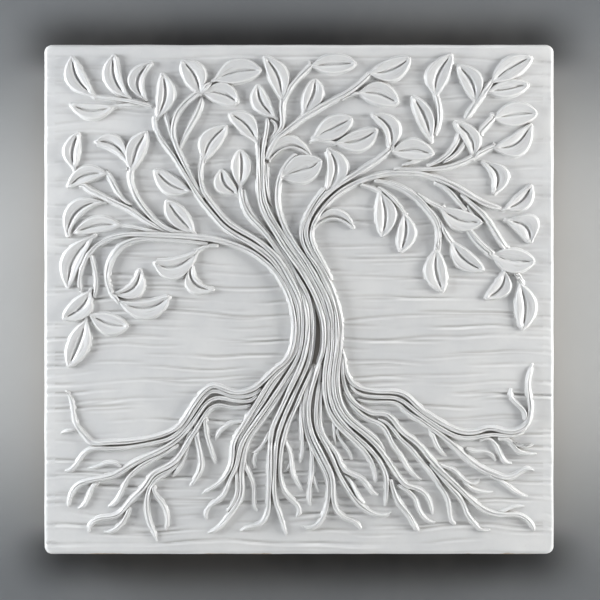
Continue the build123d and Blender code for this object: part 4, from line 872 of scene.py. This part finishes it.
def clay_material():
    """White satin clay with painted shade in its crevices, creases, scored streaks and trunk pocket, a
    painted highlight (partly wear) on its edges, and buff where the slip stops on the slab's sides.
    """
    material, nodes = new_material("white_clay")
    spot = nodes.position()
    cloud = nodes.noise(spot, 28, 4, 0.6)
    speck = nodes.noise(spot, 420, 3, 0.6)
    base = nodes.mix(nodes.ramp(cloud, 0.3, 0.7), SLIP_COOL, SLIP_WARM)
    base = nodes.mix(nodes.ramp(speck, 0.62, 0.8, 0, 0.22), base, SPECKS)
    # painted shade: the clay darkens towards a warm grey in crevices and seams, where ambient occlusion
    # is low
    shade = nodes.add("AmbientOcclusion", {"Distance": 0.0035}, samples=6).outputs["AO"]
    base = nodes.mix(nodes.ramp(shade, 0.12, 0.8, 0.75, 0.0), base, CREVICE_SHADE_COLOUR)
    # painted shade: creases and the trunk pocket darkened by the slab's attribute
    painted_crease_shade = nodes.add("Attribute", attribute_name="painted_crease_shade").outputs["Fac"]
    base = nodes.mix(nodes.math("MULTIPLY", painted_crease_shade, 0.85), base, CREASE_SHADE_COLOUR)
    # painted highlight, partly wear: convex edges and ridges are painted paler
    edge = nodes.add("NewGeometry").outputs["Pointiness"]
    base = nodes.mix(nodes.ramp(edge, 0.503, 0.555), base, EDGE_WEAR_AND_HIGHLIGHT)
    depth = nodes.add("SeparateXYZ", {"Vector": spot}).outputs[1]
    ragged = nodes.math("ADD", depth, nodes.ramp(nodes.noise(spot, 60, 3), 0.2, 0.8, -0.003, 0.003))
    level = nodes.add("SeparateXYZ", {"Vector": spot}).outputs[2]
    ragged = nodes.math("ADD", ragged, nodes.ramp(level, -0.1965, -0.1985, 0, 0.0045))
    bare = nodes.ramp(ragged, SLIP_ENDS[0] * MM, SLIP_ENDS[1] * MM)
    buff = nodes.mix(nodes.ramp(speck, 0.35, 0.7), BUFF_DARK, BUFF_LIGHT)
    base = nodes.mix(bare, base, buff)
    rough = nodes.ramp(cloud, 0.2, 0.8, 0.28, 0.38)
    rough = nodes.math("ADD", rough, nodes.math("MULTIPLY", bare, 0.4))
    streak = nodes.add("Attribute", attribute_name="grain").outputs["Vector"]
    streak = nodes.add("Mapping", {"Vector": streak, "Scale": (1.5, 0.07, 1.0)}).outputs[0]
    streak = nodes.noise(streak, 1.0, 2, 0.6)
    # painted shade: the fine streaks are painted darker where their bump dips
    base = nodes.mix(nodes.ramp(streak, 0.42, 0.30, 0.0, 0.35), base, SCORE_SHADE_COLOUR)
    grain = nodes.bump(nodes.noise(spot, 1500, 2, 0.6), 0.10, 0.0003)
    grain = nodes.bump(streak, 0.45, 0.0009, grain)
    drag = nodes.noise(nodes.position((0.12, 1, 1)), 420, 3, 0.55)
    grain = nodes.bump(drag, 0.10, 0.0005, grain)
    shine = nodes.math("SUBTRACT", COAT, nodes.math("MULTIPLY", bare, COAT))
    nodes.finish(
        Base_Color=base,
        Roughness=rough,
        Normal=grain,
        Specular_IOR_Level=0.6,
        Coat_Weight=shine,
        Coat_Roughness=0.2,
    )
    return material


def wood_material(name, along):
    """Planed pine with its grain along one axis."""
    material, nodes = new_material(name)
    stretch = {"x": (0.05, 1, 1), "z": (1, 1, 0.05)}[along]
    rings = nodes.noise(nodes.position(stretch), 230, 4, 0.62)
    fibres = nodes.noise(nodes.position(tuple(s if s == 1 else 0.02 for s in stretch)), 1500, 2, 0.6)
    base = nodes.mix(nodes.ramp(rings, 0.35, 0.68), (0.66, 0.46, 0.27), (0.80, 0.62, 0.41))
    base = nodes.mix(nodes.ramp(fibres, 0.55, 0.8, 0, 0.5), base, (0.45, 0.29, 0.15))
    rough = nodes.ramp(fibres, 0.2, 0.8, 0.5, 0.72)
    grain = nodes.bump(nodes.math("ADD", rings, fibres), 0.25, 0.0004)
    nodes.finish(Base_Color=base, Roughness=rough, Normal=grain)
    return material


def metal_material(name, color, worn, rough_low, rough_high):
    """Plated metal with cloudy tarnish and fine upright scratches."""
    material, nodes = new_material(name)
    spot = nodes.position()
    cloud = nodes.noise(spot, 260, 4, 0.6)
    scratch = nodes.noise(nodes.position((1, 1, 0.08)), 2600, 2, 0.6)
    base = nodes.mix(nodes.ramp(cloud, 0.35, 0.75), color, worn)
    rough = nodes.ramp(nodes.math("ADD", cloud, scratch), 0.7, 1.3, rough_low, rough_high)
    grain = nodes.bump(scratch, 0.15, 0.0001)
    nodes.finish(Base_Color=base, Roughness=rough, Normal=grain, Metallic=1.0)
    return material


def rubber_material():
    """Dusty black rubber."""
    material, nodes = new_material("pad_rubber")
    spot = nodes.position()
    cloud = nodes.noise(spot, 300, 3, 0.6)
    base = nodes.mix(nodes.ramp(cloud, 0.3, 0.7), (0.030, 0.030, 0.032), (0.065, 0.063, 0.060))
    grain = nodes.bump(nodes.noise(spot, 2400, 2), 0.4, 0.0003)
    nodes.finish(Base_Color=base, Roughness=nodes.ramp(cloud, 0.2, 0.8, 0.62, 0.82), Normal=grain)
    return material


def wall_material():
    """A grey wall, with painted shade towards its top and bottom and a painted shadow in bands above
    and below the panel.

    It is seen from its front only.
    """
    material, nodes = new_material("stage_wall")
    spot = nodes.position()
    cloud = nodes.noise(spot, 6, 4, 0.6)
    split = nodes.add("SeparateXYZ", {"Vector": spot}).outputs
    side, level = nodes.math("ABSOLUTE", split[0]), nodes.math("ABSOLUTE", split[2])
    # painted shade: the wall darkens from its middle band towards its top and bottom
    away = nodes.ramp(level, 0.05, 0.24, 0.0, 1.0)
    base = nodes.mix(away, (0.56, 0.57, 0.57), (0.20, 0.21, 0.22))
    # painted shadow: dark bands on the wall just above and below the panel
    painted_panel_shadow = nodes.math("MULTIPLY", nodes.ramp(side, 0.24, 0.18), nodes.ramp(level, 0.24, 0.205))
    painted_panel_shadow = nodes.math("MULTIPLY", painted_panel_shadow, nodes.ramp(level, 0.175, 0.2))
    base = nodes.mix(painted_panel_shadow, base, (0.045, 0.047, 0.05))
    base = nodes.mix(nodes.ramp(cloud, 0.35, 0.65, 0.0, 0.12), base, (0.36, 0.36, 0.35))
    shader = nodes.finish(Base_Color=base, Roughness=0.8)
    clear = nodes.add("BsdfTransparent")
    facing = nodes.add("NewGeometry").outputs["Backfacing"]
    blend = nodes.add("MixShader", {0: facing, 1: shader.outputs[0], 2: clear.outputs[0]})
    out = next(node for node in nodes.tree.nodes if node.type == "OUTPUT_MATERIAL")
    nodes.tree.links.new(blend.outputs[0], out.inputs[0])
    return material


def floor_material():
    """A plain pale floor."""
    material, nodes = new_material("stage_floor")
    cloud = nodes.noise(nodes.position(), 5, 4, 0.6)
    base = nodes.mix(nodes.ramp(cloud, 0.3, 0.7), (0.66, 0.66, 0.65), (0.72, 0.72, 0.71))
    nodes.finish(Base_Color=base, Roughness=0.7)
    return material


# ---- the relief ----
clay = clay_material()
OUTLINE_PITCH = 0.5  # spacing of the points of an outline
relief = []
for node_name in sorted(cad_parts):
    if node_name.startswith(RELIEF_PREFIXES):
        loops = front_loops(node_name)
        outer = [even_loop(loop, OUTLINE_PITCH) for loop in loops if shoelace(loop) > 1.0]
        holes = [loop for loop in loops if shoelace(loop) < -1.0]
        relief.append((node_name, outer, holes))

neighbours = Neighbours(
    [loop for _, outer, _ in relief for loop in outer],
    [name.startswith("leaves_") for name, outer, _ in relief for _ in outer],
)
owner = 0
for node_name, outer, holes in relief:
    tall = (slab_low.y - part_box(node_name)[0].y) / MM
    skin = Skin()
    for number, loop in enumerate(outer):
        seed = sum(map(ord, node_name)) * 7 + number * 31
        if node_name.startswith("leaves_"):
            middle = loop.mean(0)
            slit = min(holes, key=lambda hole: np.hypot(*(hole.mean(0) - middle)))
            rings, lengthwise = leaf_rings(loop, slit, tall, neighbours, owner, seed)
        else:
            left, right = coil_sides(loop)
            rings, lengthwise = coil_rings(left, right, tall, neighbours, owner, seed)
        skin.add(*loft(rings, lengthwise, seed))
        owner += 1
    piece = skin.piece("clay_" + node_name, clay)
    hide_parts(node_name)
    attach(piece, "panel")

pocket_sides = [outer[0] for name, outer, _ in relief if name in POCKET_SIDES]
slab_surface, slab_painted_crease_shade = slab_skin(*pocket_sides)
slab_piece = slab_surface.piece("clay_slab_creased", clay)
# the painted shade of the slab's creases and trunk pocket
painted_crease_shade_layer = slab_piece.data.attributes.new("painted_crease_shade", "FLOAT", "POINT")
painted_crease_shade_layer.data.foreach_set("value", slab_painted_crease_shade.astype(np.float32))
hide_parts("clay_slab")
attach(slab_piece, "panel")

strap = metal_material("strap_steel", (0.70, 0.71, 0.73), (0.52, 0.53, 0.54), 0.28, 0.48)
ring = metal_material("ring_steel", (0.76, 0.76, 0.77), (0.60, 0.60, 0.61), 0.18, 0.36)
brass = metal_material("screw_brass", (0.82, 0.62, 0.30), (0.62, 0.44, 0.20), 0.24, 0.44)
HARDWARE = (
    (wood_material("pine_along_x", "x"), "pine", ("frame_top_rail", "frame_bottom_rail")),
    (wood_material("pine_along_z", "z"), "pine", ("frame_left_stile", "frame_right_stile")),
    (brass, "screw_brass", ("corner_screws", "hanger_screws")),
    (strap, "strap_steel", ("hanger_strap_left", "hanger_strap_right")),
    (ring, "ring_steel", ("hanging_ring_left", "hanging_ring_right")),
    (rubber_material(), "pad_rubber", ("wall_pads",)),
)
for finish, slot_name, node_names in HARDWARE:
    for node_name in node_names:
        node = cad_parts[node_name]
        node.data.materials.clear()
        node.data.materials.append(finish)


# ---- stage, lights and camera ----
def stage_plane(name, corners, material):
    """A flat piece of the stage, which isn't part of the object."""
    mesh = bpy.data.meshes.new(name)
    mesh.from_pydata(corners, [], [(0, 1, 2, 3)])
    mesh.materials.append(material)
    plane = put_in_scene(name, mesh)
    return plane


wall_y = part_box("wall_pads")[1].y + 0.3 * MM
FLOOR_Z = -0.36
wall = stage_plane(
    "stage_wall",
    [(-2.5, wall_y, FLOOR_Z), (2.5, wall_y, FLOOR_Z), (2.5, wall_y, 2.2), (-2.5, wall_y, 2.2)],
    wall_material(),
)
wall.visible_shadow = False
wall.visible_diffuse = False
stage_plane(
    "stage_floor",
    [(-3, -4, FLOOR_Z), (3, -4, FLOOR_Z), (3, 4, FLOOR_Z), (-3, 4, FLOOR_Z)],
    floor_material(),
)

# (name, place in metres, size, watts, colour): two lamps graze the relief from the sides, as in
# the photo, one lights it from above, and the rear ones light the back
LAMPS = (
    ("soft_left", (-0.88, -0.28, 0.15), (0.3, 0.4), 7.0, (0.95, 0.975, 1.0)),
    ("soft_right", (0.88, -0.28, 0.13), (0.3, 0.4), 6.6, (1.0, 0.995, 0.98)),
    ("soft_top", (0.12, -0.34, 0.86), (0.4, 0.3), 1.6, (0.98, 0.99, 1.0)),
    ("soft_rear_left", (-2.0, 2.7, 1.5), (2.0, 2.0), 44, (1.0, 0.99, 0.97)),
    ("soft_rear_right", (2.0, 2.7, 1.2), (2.0, 2.0), 30, (0.97, 0.985, 1.0)),
)
for name, place, size, watts, color in LAMPS:
    light = bpy.data.lights.new(name, "AREA")
    light.shape = "RECTANGLE"
    light.size, light.size_y = size
    light.energy = watts
    light.color = color
    lamp = put_in_scene(name, light)
    lamp.location = place
    lamp.rotation_mode = "QUATERNION"
    lamp.rotation_quaternion = (-Vector(place)).to_track_quat("-Z", "Y")

world = bpy.data.worlds.new("soft_room")
world.use_nodes = True
nodes = Nodes(world.node_tree)
seen = nodes.add("LightPath").outputs["Is Camera Ray"]
ROOM_LIGHT, ROOM_TONE = 0.105, 0.25  # what the room gives the panel, and what the camera sees
strength = nodes.add("MapRange", {"Value": seen, "To Min": ROOM_LIGHT, "To Max": ROOM_TONE})
room = nodes.add("Background", {0: (0.93, 0.95, 1.0), 1: strength.outputs[0]})
nodes.add("OutputWorld", {"Surface": room.outputs[0]})
bpy.context.scene.world = world
view = bpy.context.scene.view_settings
view.view_transform = "Standard"
view.look = "Medium High Contrast"
view.exposure = -0.13

camera_data = bpy.data.cameras.new("camera")
camera_data.lens = 107
camera_data.sensor_width = 36
camera = put_in_scene("camera", camera_data)
VIEW_WIDTH = 0.4685  # what the picture spans at the slab's front, in metres
distance = camera_data.lens / camera_data.sensor_width * VIEW_WIDTH
camera.location = (0.0008, slab_low.y - distance, -0.0005)
camera.rotation_euler = (math.radians(90), 0, 0)
bpy.context.scene.camera = camera
